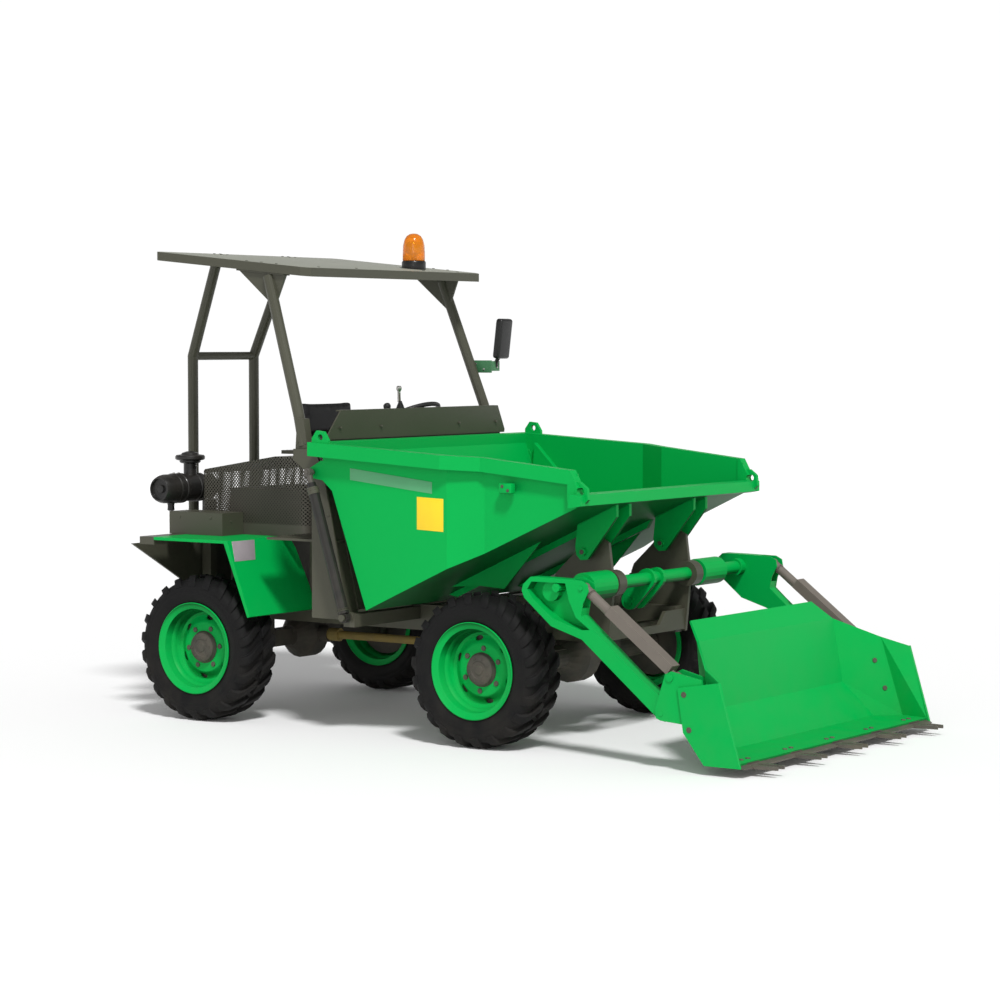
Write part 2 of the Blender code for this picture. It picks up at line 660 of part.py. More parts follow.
arm = [(2.136, 0.835), (2.128, 0.805), (2.142, 0.770), (2.299, 0.640), (2.475, 0.586), (2.905, 0.238),
    (2.940, 0.228), (2.970, 0.250),
       (2.972, 0.285), (2.950, 0.318), (2.800, 0.425), (2.532, 0.646), (2.470, 0.700), (2.480, 0.755),
           (2.512, 0.815), (2.506, 0.850), (2.470, 0.868),
       (2.300, 0.872), (2.180, 0.873)]
window = [(2.185, 0.850), (2.160, 0.812), (2.190, 0.770), (2.310, 0.678), (2.470, 0.630), (2.520, 0.635),
    (2.440, 0.690), (2.400, 0.770), (2.380, 0.850)]
for tag, side in (("l", 1), ("r", -1)):
    plate = prism(arm, *sorted((side * ARM_IN, side * ARM_OUT)))
    cuts = [prism(window, *sorted((side * (ARM_IN + 0.012), side * (ARM_OUT + 0.02)))),
            prism([(2.405, 0.735), (2.56, 0.735), (2.56, 0.95), (2.405, 0.95)],
                *sorted((side * (ARM_MID - 0.029), side * (ARM_MID + 0.029))))]
    made = combine(plate, cuts, "DIFFERENCE")
    pin = disc(HEAD_X, HEAD_Z, LOADER_PIN_R, side * (ARM_IN + 0.002), side * (ARM_OUT + 0.006), 12)
    boss = disc(TUBE_X, TUBE_Z, 0.048, side * (ARM_IN + 0.002), side * (ARM_IN + 0.045), 16)
    lug_a = disc(2.328, 0.826, 0.022, side * (ARM_IN + 0.002), side * (ARM_OUT + 0.004), 10)
    node("arm_" + tag, GREEN, [made, pin, boss, lug_a],
        [disc(BUCKET_X, BUCKET_Z, 0.016, side * (ARM_IN - 0.01), side * (ARM_OUT + 0.01), 16)],
         pivot=(TUBE_X, 0, TUBE_Z))

# Bucket: a folded back and floor with flared sides, cheek plates, and brackets for the arms and cylinders.
faces = []
back = [(2.863, 0.602, 0.664), (2.947, 0.674, 0.580), (2.995, 0.700, 0.253), (3.115, 0.820, 0.070)]
b1 = (3.120, 0.890, 0.480)
b2 = (3.210, 0.968, 0.0638)
c1 = (3.247, 0.975, 0.432)
c2 = (EDGE_X, 0.975, 0.055)


def flip(p):
    return (p[0], -p[1], p[2])


for p, q in zip(back, back[1:]):
    faces.append([p, q, flip(q), flip(p)])
faces.append([back[3], b2, c2, flip(c2), flip(b2), flip(back[3])])
for turn in (lambda p: p, flip):
    for face in ([back[1], b1, back[2]], [back[2], b1, b2], [back[2], b2, back[3]], [b1, c1, c2, b2]):
        faces.append([turn(p) for p in face])
shell = sheet_from(faces, BUCKET_T)
wear = [(3.027, 0.397), (3.247, 0.434), (3.364, 0.045), (3.172, 0.045), (3.060, 0.190)]
outer_bracket = [(2.905, 0.245), (2.930, 0.236), (3.200, 0.215), (3.150, 0.440), (2.985, 0.470),
    (2.955, 0.455), (2.900, 0.290)]
inner_bracket = [(2.905, 0.245), (2.930, 0.236), (INNER_LOW_X, 0.215), (INNER_HIGH_X, 0.440),
    (2.985, 0.470), (2.955, 0.455), (2.900, 0.290)]
pieces = [shell]
for side in (1, -1):
    pieces.append(prism(wear, *sorted((side * (BUCKET_Y - 0.016), side * BUCKET_Y))))
    for bracket, y0, y1 in ((inner_bracket, ARM_IN - 0.018, ARM_IN - 0.006),
        (outer_bracket, ARM_OUT + 0.012, ARM_OUT + 0.024)):
        pieces.append(prism(bracket, *sorted((side * y0, side * y1))))
    pieces.append(disc(BUCKET_X, BUCKET_Z, 0.015, side * (ARM_IN - 0.020), side * (ARM_OUT + 0.026), 14))
    pieces.append(disc(ROD_PIN_X, ROD_PIN_Z, 0.019, side * (ARM_OUT + 0.014), side * (ARM_OUT + 0.030),
        12))
node("bucket", GREEN, pieces, pivot=(BUCKET_X, 0, BUCKET_Z))

# Cutting edge: a flat bar under the bucket's front with two-legged teeth.
under_front = c2[2] - TOUCH
under_rear = b2[2] - (b2[2] - c2[2]) * (3.235 - b2[0]) / (EDGE_X - b2[0]) - TOUCH
pieces = [prism([(3.235, under_rear), (3.235, 0.050), (EDGE_X + 0.035, 0.040), (EDGE_X + 0.035, 0.046),
    (EDGE_X, under_front)], -0.968, 0.968)]
for y in (-0.83, -0.415, 0, 0.415, 0.83):
    for leg in (-0.030, 0.030):
        pieces.append(prism([(3.290, y + leg - 0.022), (EDGE_X + 0.03, y + leg - 0.022),
            (TOOTH_TIP_X, y + leg - 0.004),
                             (TOOTH_TIP_X, y + leg + 0.004), (EDGE_X + 0.03, y + leg + 0.022),
                                 (3.290, y + leg + 0.022)], 0.035, 0.0525, "z"))
node("cutting_edge", STEEL, pieces, pivot=(BUCKET_X, 0, BUCKET_Z))


# Cylinders: each is a barrel with an eye and a bore, and a rod with its own eye.
def along(p, q, distance, y):
    run = (Vector(q) - Vector(p)).normalized()
    at = Vector(p) + run * distance
    return (at.x, y, at.y)


def tube_piece(p, q, y, start, end, radius, bore, floor, sides=16):
    """A bored tube along the line from p to q with a closed end."""
    a = along(p, q, start, y)
    run = Vector(along(p, q, end, y)) - Vector(a)
    length = end - start
    profile = [(0, 0), (radius, 0), (radius, length), (bore, length), (bore, floor), (0, floor)]
    return lathe(profile, a, run, sides)


tip_base = (TIP_BASE_X, TIP_BASE_Z)
tip_top = (TIP_TOP_X, TIP_TOP_Z)
tip_len = math.dist(tip_base, tip_top)
for tag, side in (("l", 1), ("r", -1)):
    y = side * TIP_Y
    base = (TIP_BASE_X, y, TIP_BASE_Z)
    top = (TIP_TOP_X, y, TIP_TOP_Z)
    wide = sorted((y - 0.016, y + 0.016))
    node("tip_barrel_" + tag, DARK,
         [tube_piece(tip_base, tip_top, y, 0.022, tip_len - 0.075, TIP_BARREL_R, TIP_STAGE_R + RUNNING,
             0.020), disc(*tip_base, 0.026, *wide, 16)],
         [disc(*tip_base, 0.0145, y - 0.03, y + 0.03, 16)], pivot=base)
    node("tip_stage_" + tag, STEEL, [tube_piece(tip_base, tip_top, y, 0.045, tip_len - 0.055, TIP_STAGE_R,
        TIP_ROD_R + RUNNING, 0.015)], pivot=base)
    node("tip_rod_" + tag, CHROME,
         [rod(along(tip_base, tip_top, 0.066, y), along(tip_base, tip_top, tip_len - 0.012, y), TIP_ROD_R,
             14), disc(*tip_top, 0.021, *wide, 14),
          disc(*tip_top, 0.011, side * (PANEL_Y + PIN_GAP), side * (TIP_Y + 0.024), 12)], pivot=top)

head = (HEAD_X, HEAD_Z)
rod_pin = (ROD_PIN_X, ROD_PIN_Z)
load_len = math.dist(head, rod_pin)
for tag, side in (("l", 1), ("r", -1)):
    y = side * ARM_MID
    wide = sorted((y - 0.014, y + 0.014))
    node("bucket_barrel_" + tag, DARK, [tube_piece(head, rod_pin, y, 0.016, 0.400, 0.024, 0.015, 0.015),
        disc(*head, 0.024, *wide, 16)],
         [disc(*head, LOADER_PIN_R + RUNNING, y - 0.03, y + 0.03, 12)], pivot=(HEAD_X, y, HEAD_Z))
    channel = combine(bar_frame(head, rod_pin, -0.012, 0.040, y - 0.035, y + 0.035, 0.178,
        load_len - 0.032),
                      [bar_frame(head, rod_pin, -0.020, 0.034, y - 0.031, y + 0.031, 0.170,
                          load_len - 0.060)], "DIFFERENCE")
    pieces = [channel, rod(along(head, rod_pin, 0.130, y), along(head, rod_pin, load_len - 0.010, y),
        0.014, 12), disc(*rod_pin, 0.022, *wide, 14),
              disc(*rod_pin, LOADER_PIN_R, y - 0.041 + PIN_GAP, y + 0.041 - PIN_GAP, 12)]
    node("bucket_rod_" + tag, GUARD, pieces, pivot=(ROD_PIN_X, y, ROD_PIN_Z))

lift_base = (LIFT_BASE_X, LIFT_BASE_Z)
lever = (LEVER_X, LEVER_Z)
lift_len = math.dist(lift_base, lever)
node("lift_barrel", DARK, [tube_piece(lift_base, lever, 0, 0.020, lift_len - 0.060, 0.040, 0.021, 0.020),
    disc(*lift_base, 0.030, -0.027, 0.027, 16)],
     [disc(*lift_base, 0.015, -0.04, 0.04, 16)], pivot=(LIFT_BASE_X, 0, LIFT_BASE_Z))
node("lift_rod", CHROME, [rod(along(lift_base, lever, 0.060, 0),
    along(lift_base, lever, lift_len - 0.015, 0), 0.020, 14), disc(*lever, 0.030, -0.027, 0.027, 16),
                           disc(*lever, 0.014, -0.034 + PIN_GAP, 0.034 - PIN_GAP, 12)],
     [], pivot=(LEVER_X, 0, LEVER_Z))

# Rear deck: the plate over the rails with its legs, the rear beams and the opening for the engine.
deck_lo = DECK_Z - DECK_T
pieces = [box((-0.585, -RAIL_OUT + TOUCH, deck_lo), (0.46, RAIL_OUT - TOUCH, DECK_Z))]
for side in (1, -1):
    lo, hi = sorted((side * (RAIL_IN + 0.006), side * (RAIL_OUT - 0.006)))
    for x0 in (-0.42, 0.34):
        pieces.append(box((x0, lo, RAIL_HI + TOUCH), (x0 + 0.06, hi, deck_lo + 0.002)))
    lo, hi = sorted((side * (RAIL_OUT - 0.05), side * 0.930))
    pieces.append(box((-0.36, lo, 0.925), (-0.2603, hi, DECK_Z)))
    lo, hi = sorted((side * 0.22, side * 0.31))
    pieces.append(box((-0.600, lo, deck_lo), (-0.53, hi, DECK_Z)))
cuts = [box((-0.34, -0.29, 0.9), (0.33, 0.29, 1.0))]
node("rear_deck", DARK, pieces, cuts)

panel = [(-0.90, 0.922), (-0.50, 0.700), (-0.25, 0.560), (0.25, 0.560), (0.50, 0.700), (0.90, 0.922)]
pieces = [prism(panel, RAIL_REAR - 0.012 - TOUCH, RAIL_REAR - TOUCH, "x")]
node("rear_panel", DARK, pieces + [box((RAIL_REAR - 0.03, -0.34, 0.60),
    (RAIL_REAR - TOUCH, 0.34, deck_lo - TOUCH))])

# Rear fenders: a deck, a sloping apron in front of the tyre and a folded edge.
FENDER_OUT = 0.930
FOLD = 0.016
APRON_TOP_X = 0.250
APRON_X = 0.400
APRON_Z = 0.575
for tag, side in (("l", 1), ("r", -1)):
    lo, hi = sorted((side * RAIL_OUT, side * FENDER_OUT))
    pieces = [box((-0.26, lo, DECK_Z - SHEET), (APRON_TOP_X, hi, DECK_Z))]
    line = [(APRON_TOP_X, DECK_Z), (APRON_X, APRON_Z)]
    inward = shifted(line[0], line[1], -SHEET)
    apron = combine(prism([line[0], line[1], tuple(inward[1]), tuple(inward[0])], -1, 1), [prism(
        [(side * FENDER_OUT, 0.50), (side * 0.372, 0.50), (side * 0.372, 0.70), (side * 0.395, 0.90),
            (side * 0.455, 1.05), (side * FENDER_OUT, 1.05)],
        0.0, 0.6, "x")], "INTERSECT")
    pieces.append(apron)
    deep = shifted(line[0], line[1], -FOLD)
    lip_side = [(-0.26, DECK_Z - 0.001), line[0], line[1], tuple(deep[1]),
        (deep[0].x - FOLD / 2, DECK_Z - FOLD), (-0.26, DECK_Z - FOLD)]
    pieces.append(prism(lip_side, *sorted((side * FENDER_OUT, side * (FENDER_OUT - SHEET)))))
    run = (Vector(line[1]) - Vector(line[0])).normalized()
    hem = [line[1], tuple(deep[1]), tuple(deep[1] - run * SHEET), tuple(Vector(line[1]) - run * SHEET)]
    pieces.append(prism(hem, *sorted((side * 0.372, side * FENDER_OUT))))
    node("fender_" + tag, GREEN, pieces)

# Engine under its cover, with the air filter and battery box beside it.
node("engine_block", DARK, [box((-0.285, -0.27, 0.60), (0.32, 0.27, 1.20)),
    box((-0.25, -RAIL_IN + TOUCH, 0.53), (0.26, RAIL_IN - TOUCH, 0.62))])
cover = [(-0.30, DECK_Z + TOUCH), (0.44, DECK_Z + TOUCH), (0.44, 1.392), (0.22, 1.392), (-0.27, 1.312),
    (-0.30, 1.290)]
hollow = [(-0.295, 0.9), (0.435, 0.9), (0.435, 1.387), (0.22, 1.387), (-0.267, 1.307), (-0.295, 1.287)]
node("engine_cover", DARK, [prism(cover, -0.50, 0.50)], [prism(hollow, -0.495, 0.495)])
pieces = [lathe([(0, 0), (0.070, 0), (0.083, 0.02), (0.083, 0.47), (0.070, 0.49), (0, 0.49)],
    (-0.43, -0.70, 1.205), (0, 1, 0), 20)]
pieces.append(rod((-0.43, -0.60, 1.13), (-0.43, -0.60, 1.085), 0.022, 10))
pieces.append(rod((-0.43, -0.44, 1.24), (-0.43, -0.44, 1.35), 0.036, 12))
pieces.append(lathe([(0, 0), (0.050, 0), (0.0825, 0.018), (0.078, 0.05), (0.04, 0.066), (0, 0.07)],
    (-0.43, -0.44, 1.335), (0, 0, 1), 20))
pieces.append(box((-0.46, -0.31, DECK_Z + TOUCH), (-0.40, -0.25, 1.16)))
node("air_filter", BLACK, pieces)
node("battery_box", DARK, [box((-0.375, -0.675, DECK_Z + TOUCH), (0.0, -0.5003, 1.088))])

# Cowl in front of the operator: a sloping bulkhead, side plates, the floor and stubs for the front posts.
cowl_line = [(COWL_X, COWL_Z), (COWL_TOP_X, COWL_TOP_Z)]
cowl_back = shifted(cowl_line[0], cowl_line[1], 0.008)
pieces = [prism([cowl_line[0], cowl_line[1], tuple(cowl_back[1]), tuple(cowl_back[0])], -0.78, 0.78)]
side_plate = [(0.780, 0.590), (1.015, 0.590), (0.895, 1.160), (0.855, 1.340), (0.800, 1.455),
    (0.660, 1.455), (0.660, 1.400), (0.770, 1.320), (0.780, 1.160)]
for side in (1, -1):
    pieces.append(prism(side_plate, *sorted((side * (COWL_HALF - 0.010), side * COWL_HALF))))
    lo, hi = sorted((side * 0.77, side * (COWL_HALF - 0.002)))
    pieces.append(prism([(0.99, 0.60), (0.998, 0.60), (0.868, 1.160), (0.83, 1.32), (0.822, 1.32),
        (0.86, 1.160)], lo, hi))
    pieces.append(box((0.660, lo, 1.425), (0.800, hi, 1.455)))
    lo, hi = sorted((side * 0.29, side * 0.35))
    pieces.append(box((0.86, lo, RAIL_HI + TOUCH), (0.92, hi, 0.99)))
pieces.append(box((0.461, -0.86, 0.978), (0.915, 0.86, 0.990)))
pieces.append(box((0.93, -0.78, RAIL_HI + TOUCH), (0.998, 0.78, 0.655)))
node("cowl", DARK, pieces)

dash_plate = combine(prism([(0.760, 1.5003), (0.812, 1.5003), (0.834, 1.652), (0.800, 1.652),
    (0.800, 1.646), (0.824, 1.646), (0.806, 1.506), (0.760, 1.506)], -1, 1),
                     [prism([(-0.80, 1.45), (0.80, 1.45), (0.80, 1.517), (0.70, 1.66), (-0.70, 1.66),
                         (-0.80, 1.517)], 0.7, 0.9, "x")], "INTERSECT")
node("dash_panel", DARK, [dash_plate, rod((0.812, -0.17, 1.648), (0.800, -0.165, 1.755), 0.006, 8),
    ball((0.800, -0.165, 1.757), 0.014, 10)])

# Steering wheel on its column, seat on the engine cover.
wheel_c = Vector((0.640, 0.140, 1.600))
tilt = Vector((-0.41, 0, 0.912)).normalized()
ring = []
for k in range(8):
    turn = 2 * math.pi * k / 8
    ring.append((0.168 + 0.012 * math.cos(turn), 0.012 * math.sin(turn)))
foot = wheel_c - tilt * 0.225
pieces = [lathe(ring, wheel_c, tilt, 28), rod(wheel_c - tilt * 0.02, foot, 0.020, 12),
    rod(wheel_c - tilt * 0.03, wheel_c + tilt * 0.012, 0.040, 14)]
across = tilt.cross(Vector((0, 1, 0))).normalized()
for turn in (90, 210, 330):
    way = Vector((0, 1, 0)) * math.cos(math.radians(turn)) + across * math.sin(math.radians(turn))
    pieces.append(rod(wheel_c, wheel_c + way * 0.166, 0.008, 8))
pieces.append(rod(wheel_c + Vector((0.06, -0.14, 0.020)), wheel_c + Vector((0.05, -0.145, 0.085)), 0.011,
    8))
normal = Vector((COWL_TOP_Z - COWL_Z, 0, COWL_X - COWL_TOP_X)).normalized()
cowl_point = Vector((cowl_back[0].x, 0, cowl_back[0].y))
gap = (cowl_point - foot).dot(normal)
pieces.append(rod(foot, foot + normal * (gap - TOUCH), 0.026, 12))
node("steering_column", BLACK, pieces)

node("seat_base", DARK, [box((0.02, -0.20, 1.3923), (0.50, 0.20, 1.412)),
    box((0.10, -0.16, 1.40), (0.135, 0.16, 1.60))])
node("seat_cushion", VINYL, [prism([(0.155, 1.4125), (0.560, 1.4125), (0.575, 1.44), (0.565, 1.475),
    (0.53, 1.488), (0.20, 1.478), (0.155, 1.470)], -0.225, 0.225)])
node("seat_back", VINYL, [prism([(0.1355, 1.4895), (0.190, 1.4895), (0.200, 1.52), (0.195, 1.640),
    (0.175, 1.675), (0.150, 1.678), (0.1355, 1.655)], -0.215, 0.215)])

# Canopy: front posts on the cowl, rear posts on the deck, a sloping roof with a beacon.
def roof_z(x):
    """The roof's top surface."""
    return ROOF_REAR_Z + (ROOF_FRONT_Z - ROOF_REAR_Z) * (x - ROOF_REAR_X) / (ROOF_FRONT_X - ROOF_REAR_X)


def roof_under(x):
    return roof_z(x) - ROOF_T


for tag, side in (("l", 1), ("r", -1)):
    foot = (0.700, side * 0.845, 1.4553)
    bend = (0.660, side * 0.835, 1.62)
    head_at = (0.405, side * 0.770, roof_under(0.405) - 0.020)
    pieces = pipe_run([(foot[0], foot[1], foot[2] + 0.012), bend, head_at], POST_R, 12)
    pieces.append(prism([(0.662, 1.4553), (0.738, 1.4553), (0.738, 1.463), (0.715, 1.61), (0.672, 1.61),
        (0.662, 1.463)], *sorted((side * 0.82, side * 0.868))))
    slope_out = [(0.20, roof_under(0.20) - TOUCH), (0.52, roof_under(0.52) - TOUCH), (0.455, 2.19),
        (0.44, 2.19)]
    pieces.append(prism(slope_out, *sorted((side * 0.762, side * 0.772))))
    top_pad = [(0.20, roof_under(0.20) - TOUCH), (0.52, roof_under(0.52) - TOUCH),
        (0.52, roof_under(0.52) - 0.008), (0.20, roof_under(0.20) - 0.008)]
    pieces.append(prism(top_pad, *sorted((side * 0.735, side * 0.785))))
    node("front_post_" + tag, DARK, pieces)

pieces = []
for side in (1, -1):
    path = [(-0.560, side * 0.263, DECK_Z + 0.004), (-0.560, side * 0.263, 1.925),
        (-0.380 + 0.02, side * 0.297, roof_under(-0.36) - 0.018)]
    pieces += pipe_run(path, POST_R, 12)
    pieces.append(box((-0.598, side * 0.263 - 0.045, DECK_Z + TOUCH),
        (-0.525, side * 0.263 + 0.045, DECK_Z + 0.012)))
    top_pad = [(-0.38, roof_under(-0.38) - TOUCH), (-0.28, roof_under(-0.28) - TOUCH),
        (-0.28, roof_under(-0.28) - 0.012), (-0.38, roof_under(-0.38) - 0.012)]
    pieces.append(prism(top_pad, *sorted((side * 0.25, side * 0.345))))
pieces.append(rod((-0.560, -0.263, 1.925), (-0.560, 0.263, 1.925), 0.0225, 12))
node("rear_posts", DARK, pieces)

roof = [(ROOF_REAR_X, ROOF_REAR_Z), (ROOF_FRONT_X, ROOF_FRONT_Z), (ROOF_FRONT_X, ROOF_FRONT_Z - ROOF_T),
    (ROOF_REAR_X, ROOF_REAR_Z - ROOF_T)]
corner = 0.04
plan = [(ROOF_REAR_X, -ROOF_HALF + corner), (ROOF_REAR_X + corner, -ROOF_HALF),
    (ROOF_FRONT_X - corner, -ROOF_HALF), (ROOF_FRONT_X, -ROOF_HALF + corner),
        (ROOF_FRONT_X, ROOF_HALF - corner), (ROOF_FRONT_X - corner, ROOF_HALF),
            (ROOF_REAR_X + corner, ROOF_HALF), (ROOF_REAR_X, ROOF_HALF - corner)]
node("canopy_roof", DARK, [combine(prism(roof, -1, 1), [prism(plan, 2, 3, "z")], "INTERSECT")])

beacon_x = 0.45
beacon_y = 0.44
base_z = roof_z(beacon_x) + 0.008
pieces = [prism([(beacon_x - 0.06, roof_z(beacon_x - 0.06) + TOUCH),
    (beacon_x + 0.06, roof_z(beacon_x + 0.06) + TOUCH),
                 (beacon_x + 0.06, base_z + 0.004), (beacon_x - 0.06, base_z + 0.004)], beacon_y - 0.06,
                     beacon_y + 0.06)]
pieces.append(lathe([(0, 0), (BEACON_R, 0), (BEACON_R, 0.035), (0.062, 0.04), (0.060, 0.13),
    (0.045, 0.172), (0.02, 0.188), (0, 0.190)],
                    (beacon_x, beacon_y, base_z), (0, 0, 1), 20))
node("beacon", AMBER, pieces)

pieces = [box((0.545, 0.8452, 1.83), (0.69, 0.8552, 1.90)),
    box((0.676, 0.850, 1.84), (0.690, 0.93, 1.899))]
pieces.append(prism([(0.700, 1.90), (0.740, 1.91), (0.752, 2.13), (0.728, 2.14), (0.690, 1.93)], 0.855,
    0.975))
pieces.append(rod((0.683, 0.90, 1.87), (0.715, 0.905, 1.96), 0.012, 8))
node("mirror", BLACK, pieces)

bpy.data.collections.remove(SHAPES)
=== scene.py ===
import math

import bpy
from mathutils import Matrix, Vector


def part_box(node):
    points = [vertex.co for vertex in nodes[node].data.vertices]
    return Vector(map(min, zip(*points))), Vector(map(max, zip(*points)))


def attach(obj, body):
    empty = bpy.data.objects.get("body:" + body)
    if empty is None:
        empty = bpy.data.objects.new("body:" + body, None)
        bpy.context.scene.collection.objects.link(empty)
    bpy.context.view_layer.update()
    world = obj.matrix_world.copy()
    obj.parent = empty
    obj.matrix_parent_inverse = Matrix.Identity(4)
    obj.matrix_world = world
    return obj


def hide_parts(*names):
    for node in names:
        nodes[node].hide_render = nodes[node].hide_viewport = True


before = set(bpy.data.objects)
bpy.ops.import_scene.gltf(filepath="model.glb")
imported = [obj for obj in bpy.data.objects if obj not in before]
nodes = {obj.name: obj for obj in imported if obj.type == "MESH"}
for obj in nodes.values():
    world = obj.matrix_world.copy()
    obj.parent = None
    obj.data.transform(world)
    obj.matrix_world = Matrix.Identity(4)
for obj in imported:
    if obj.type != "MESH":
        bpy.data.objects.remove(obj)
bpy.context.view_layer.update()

# Studio: a pale matt floor inside a lit white ring of cloth, one broad high lamp, a soft fill,
# and the viewpoint, low on the dumper's right front corner.
bpy.ops.object.select_all(action="DESELECT")
bpy.ops.mesh.primitive_plane_add(size=60, location=(0, 0, -0.001))
floor = bpy.context.object
floor.name = "studio_floor"
bpy.ops.object.transform_apply(location=True)
floor_paint = bpy.data.materials.new("floor_paper")
floor_paint.use_nodes = True
floor_shader = floor_paint.node_tree.nodes["Principled BSDF"]
floor_shader.inputs["Base Color"].default_value = (0.97, 0.97, 0.97, 1)
floor_shader.inputs["Roughness"].default_value = 0.9
floor.data.materials.append(floor_paint)
bpy.ops.mesh.primitive_cylinder_add(
    vertices=96, radius=28, depth=9, end_fill_type="NOTHING", location=(0, 0, 4.499)
)
backdrop = bpy.context.object
backdrop.name = "studio_backdrop"
bpy.ops.object.transform_apply(location=True)
backdrop_paint = bpy.data.materials.new("lit_cloth")
backdrop_paint.use_nodes = True
backdrop_shader = backdrop_paint.node_tree.nodes["Principled BSDF"]
backdrop_shader.inputs["Base Color"].default_value = (0, 0, 0, 1)
backdrop_shader.inputs["Roughness"].default_value = 1.0
backdrop_shader.inputs["Emission Color"].default_value = (1, 1, 1, 1)
backdrop_shader.inputs["Emission Strength"].default_value = 1.0
backdrop.data.materials.append(backdrop_paint)
bpy.ops.object.light_add(type="SUN", location=(5, -2, 9))
lamp = bpy.context.object
lamp.name = "key_lamp"
lamp.data.angle = math.radians(9)
lamp.data.energy = 2.6
lamp.rotation_euler = Vector((-0.62, 0.52, -1.0)).to_track_quat("-Z", "Y").to_euler()
bpy.ops.object.light_add(type="AREA", location=(4.5, -9.0, 5.0))
lamp = bpy.context.object
lamp.name = "fill_lamp"
lamp.data.size = 4.0
lamp.data.energy = 90
lamp.rotation_euler = Vector((-4.5, 9.0, -4.2)).to_track_quat("-Z", "Y").to_euler()
sky = bpy.data.worlds.new("studio_sky")
bpy.context.scene.world = sky
sky.use_nodes = True
sky.node_tree.nodes["Background"].inputs["Color"].default_value = (1, 1, 1, 1)
sky.node_tree.nodes["Background"].inputs["Strength"].default_value = 0.34
bpy.ops.object.camera_add(location=(8.2215, -11.968, 1.997))
camera = bpy.context.object
camera.rotation_euler = (math.radians(86.761), 0, math.radians(34.837))
camera.data.sensor_width = 36
camera.data.lens = 99.80
bpy.context.scene.camera = camera
bpy.context.scene.view_settings.view_transform = "Standard"


# Paints and metals: what every finish on the machine has in common. A tone drifts over the sheet,
# edges are rubbed, and yard dust settles low down and on what faces up.
def shader_group(label, takes, gives):
    """A node group with these named inputs and outputs."""
    group = bpy.data.node_groups.new(label, "ShaderNodeTree")
    for name, kind, value in takes:
        group.interface.new_socket(name, in_out="INPUT",
            socket_type="NodeSocket" + kind).default_value = value
    for name, kind in gives:
        group.interface.new_socket(name, in_out="OUTPUT", socket_type="NodeSocket" + kind)
    return group, group.nodes.new("NodeGroupInput").outputs, group.nodes.new("NodeGroupOutput").inputs


def wire(tree, kind, inputs=None, **settings):
    """One shader node, its inputs given by name or number as values or as other nodes' outputs."""
    node = tree.nodes.new("ShaderNode" + kind)
    for key, value in settings.items():
        setattr(node, key, value)
    for key, value in (inputs or {}).items():
        if isinstance(value, bpy.types.NodeSocket):
            tree.links.new(value, node.inputs[key])
        else:
            node.inputs[key].default_value = value
    return node


def sum_of(tree, operation, first, second, clamp=False):
    """A Math node's output."""
    return wire(tree, "Math", {0: first, 1: second}, operation=operation, use_clamp=clamp).outputs[0]


def blend_of(tree, amount, first, second):
    """A colour mix's output."""
    return wire(tree, "Mix", {0: amount, 6: first, 7: second}, data_type="RGBA").outputs[2]


sheet_tone, given, out = shader_group(
    "sheet_tone", (("Scale", "Float", 2.0), ("Fine", "Float", 300.0)), (("Tone", "Float"), ("Grain", "Float"))
)
where = wire(sheet_tone, "TexCoord").outputs["Object"]
wide = wire(sheet_tone, "TexNoise", {"Vector": where, "Scale": given["Scale"], "Detail": 3.0}).outputs[0]
fine = wire(sheet_tone, "TexNoise", {"Vector": where, "Scale": given["Fine"], "Detail": 2.0}).outputs[0]
sheet_tone.links.new(wide, out["Tone"])
sheet_tone.links.new(fine, out["Grain"])

rubbed_edge, given, out = shader_group(
    "rubbed_edge", (("Radius", "Float", 0.002), ("Amount", "Float", 0.5)),
        (("Mask", "Float"), ("Normal", "Vector"))
)
rounded = wire(rubbed_edge, "Bevel", {"Radius": given["Radius"]}, samples=4).outputs[0]
facing = wire(rubbed_edge, "NewGeometry").outputs["Normal"]
same = wire(rubbed_edge, "VectorMath", {0: rounded, 1: facing}, operation="DOT_PRODUCT").outputs["Value"]
turned = sum_of(rubbed_edge, "MULTIPLY", sum_of(rubbed_edge, "SUBTRACT", 1.0, same), 6.0, True)
where = wire(rubbed_edge, "TexCoord").outputs["Object"]
patchy = wire(rubbed_edge, "TexNoise", {"Vector": where, "Scale": 35.0, "Detail": 4.0}).outputs[0]
patchy = wire(rubbed_edge, "MapRange", {0: patchy, 1: 0.45, 2: 0.62}).outputs[0]
mask = sum_of(rubbed_edge, "MULTIPLY", sum_of(rubbed_edge, "MULTIPLY", turned, patchy), given["Amount"], True)
rubbed_edge.links.new(mask, out["Mask"])
rubbed_edge.links.new(rounded, out["Normal"])

yard_dust, given, out = shader_group("yard_dust", (("Amount", "Float", 0.3), ("Top", "Float", 0.9)),
    (("Mask", "Float"),))
where = wire(yard_dust, "TexCoord").outputs["Object"]
height = wire(yard_dust, "SeparateXYZ", {0: where}).outputs["Z"]
low = wire(yard_dust, "MapRange", {0: height, 1: given["Top"], 2: 0.0, 3: 0.0, 4: 1.0}).outputs[0]
facing = wire(yard_dust, "NewGeometry").outputs["Normal"]
upward = wire(yard_dust, "SeparateXYZ", {0: facing}).outputs["Z"]
flat_up = wire(yard_dust, "MapRange", {0: upward, 1: 0.5, 2: 1.0, 3: 0.0, 4: 0.16}).outputs[0]
cloud = wire(yard_dust, "TexNoise", {"Vector": where, "Scale": 9.0, "Detail": 6.0}).outputs[0]
cloud = wire(yard_dust, "MapRange", {0: cloud, 1: 0.35, 2: 0.75}).outputs[0]
lying = sum_of(yard_dust, "MULTIPLY", sum_of(yard_dust, "ADD", low, flat_up), cloud)
yard_dust.links.new(sum_of(yard_dust, "MULTIPLY", lying, given["Amount"], True), out["Mask"])

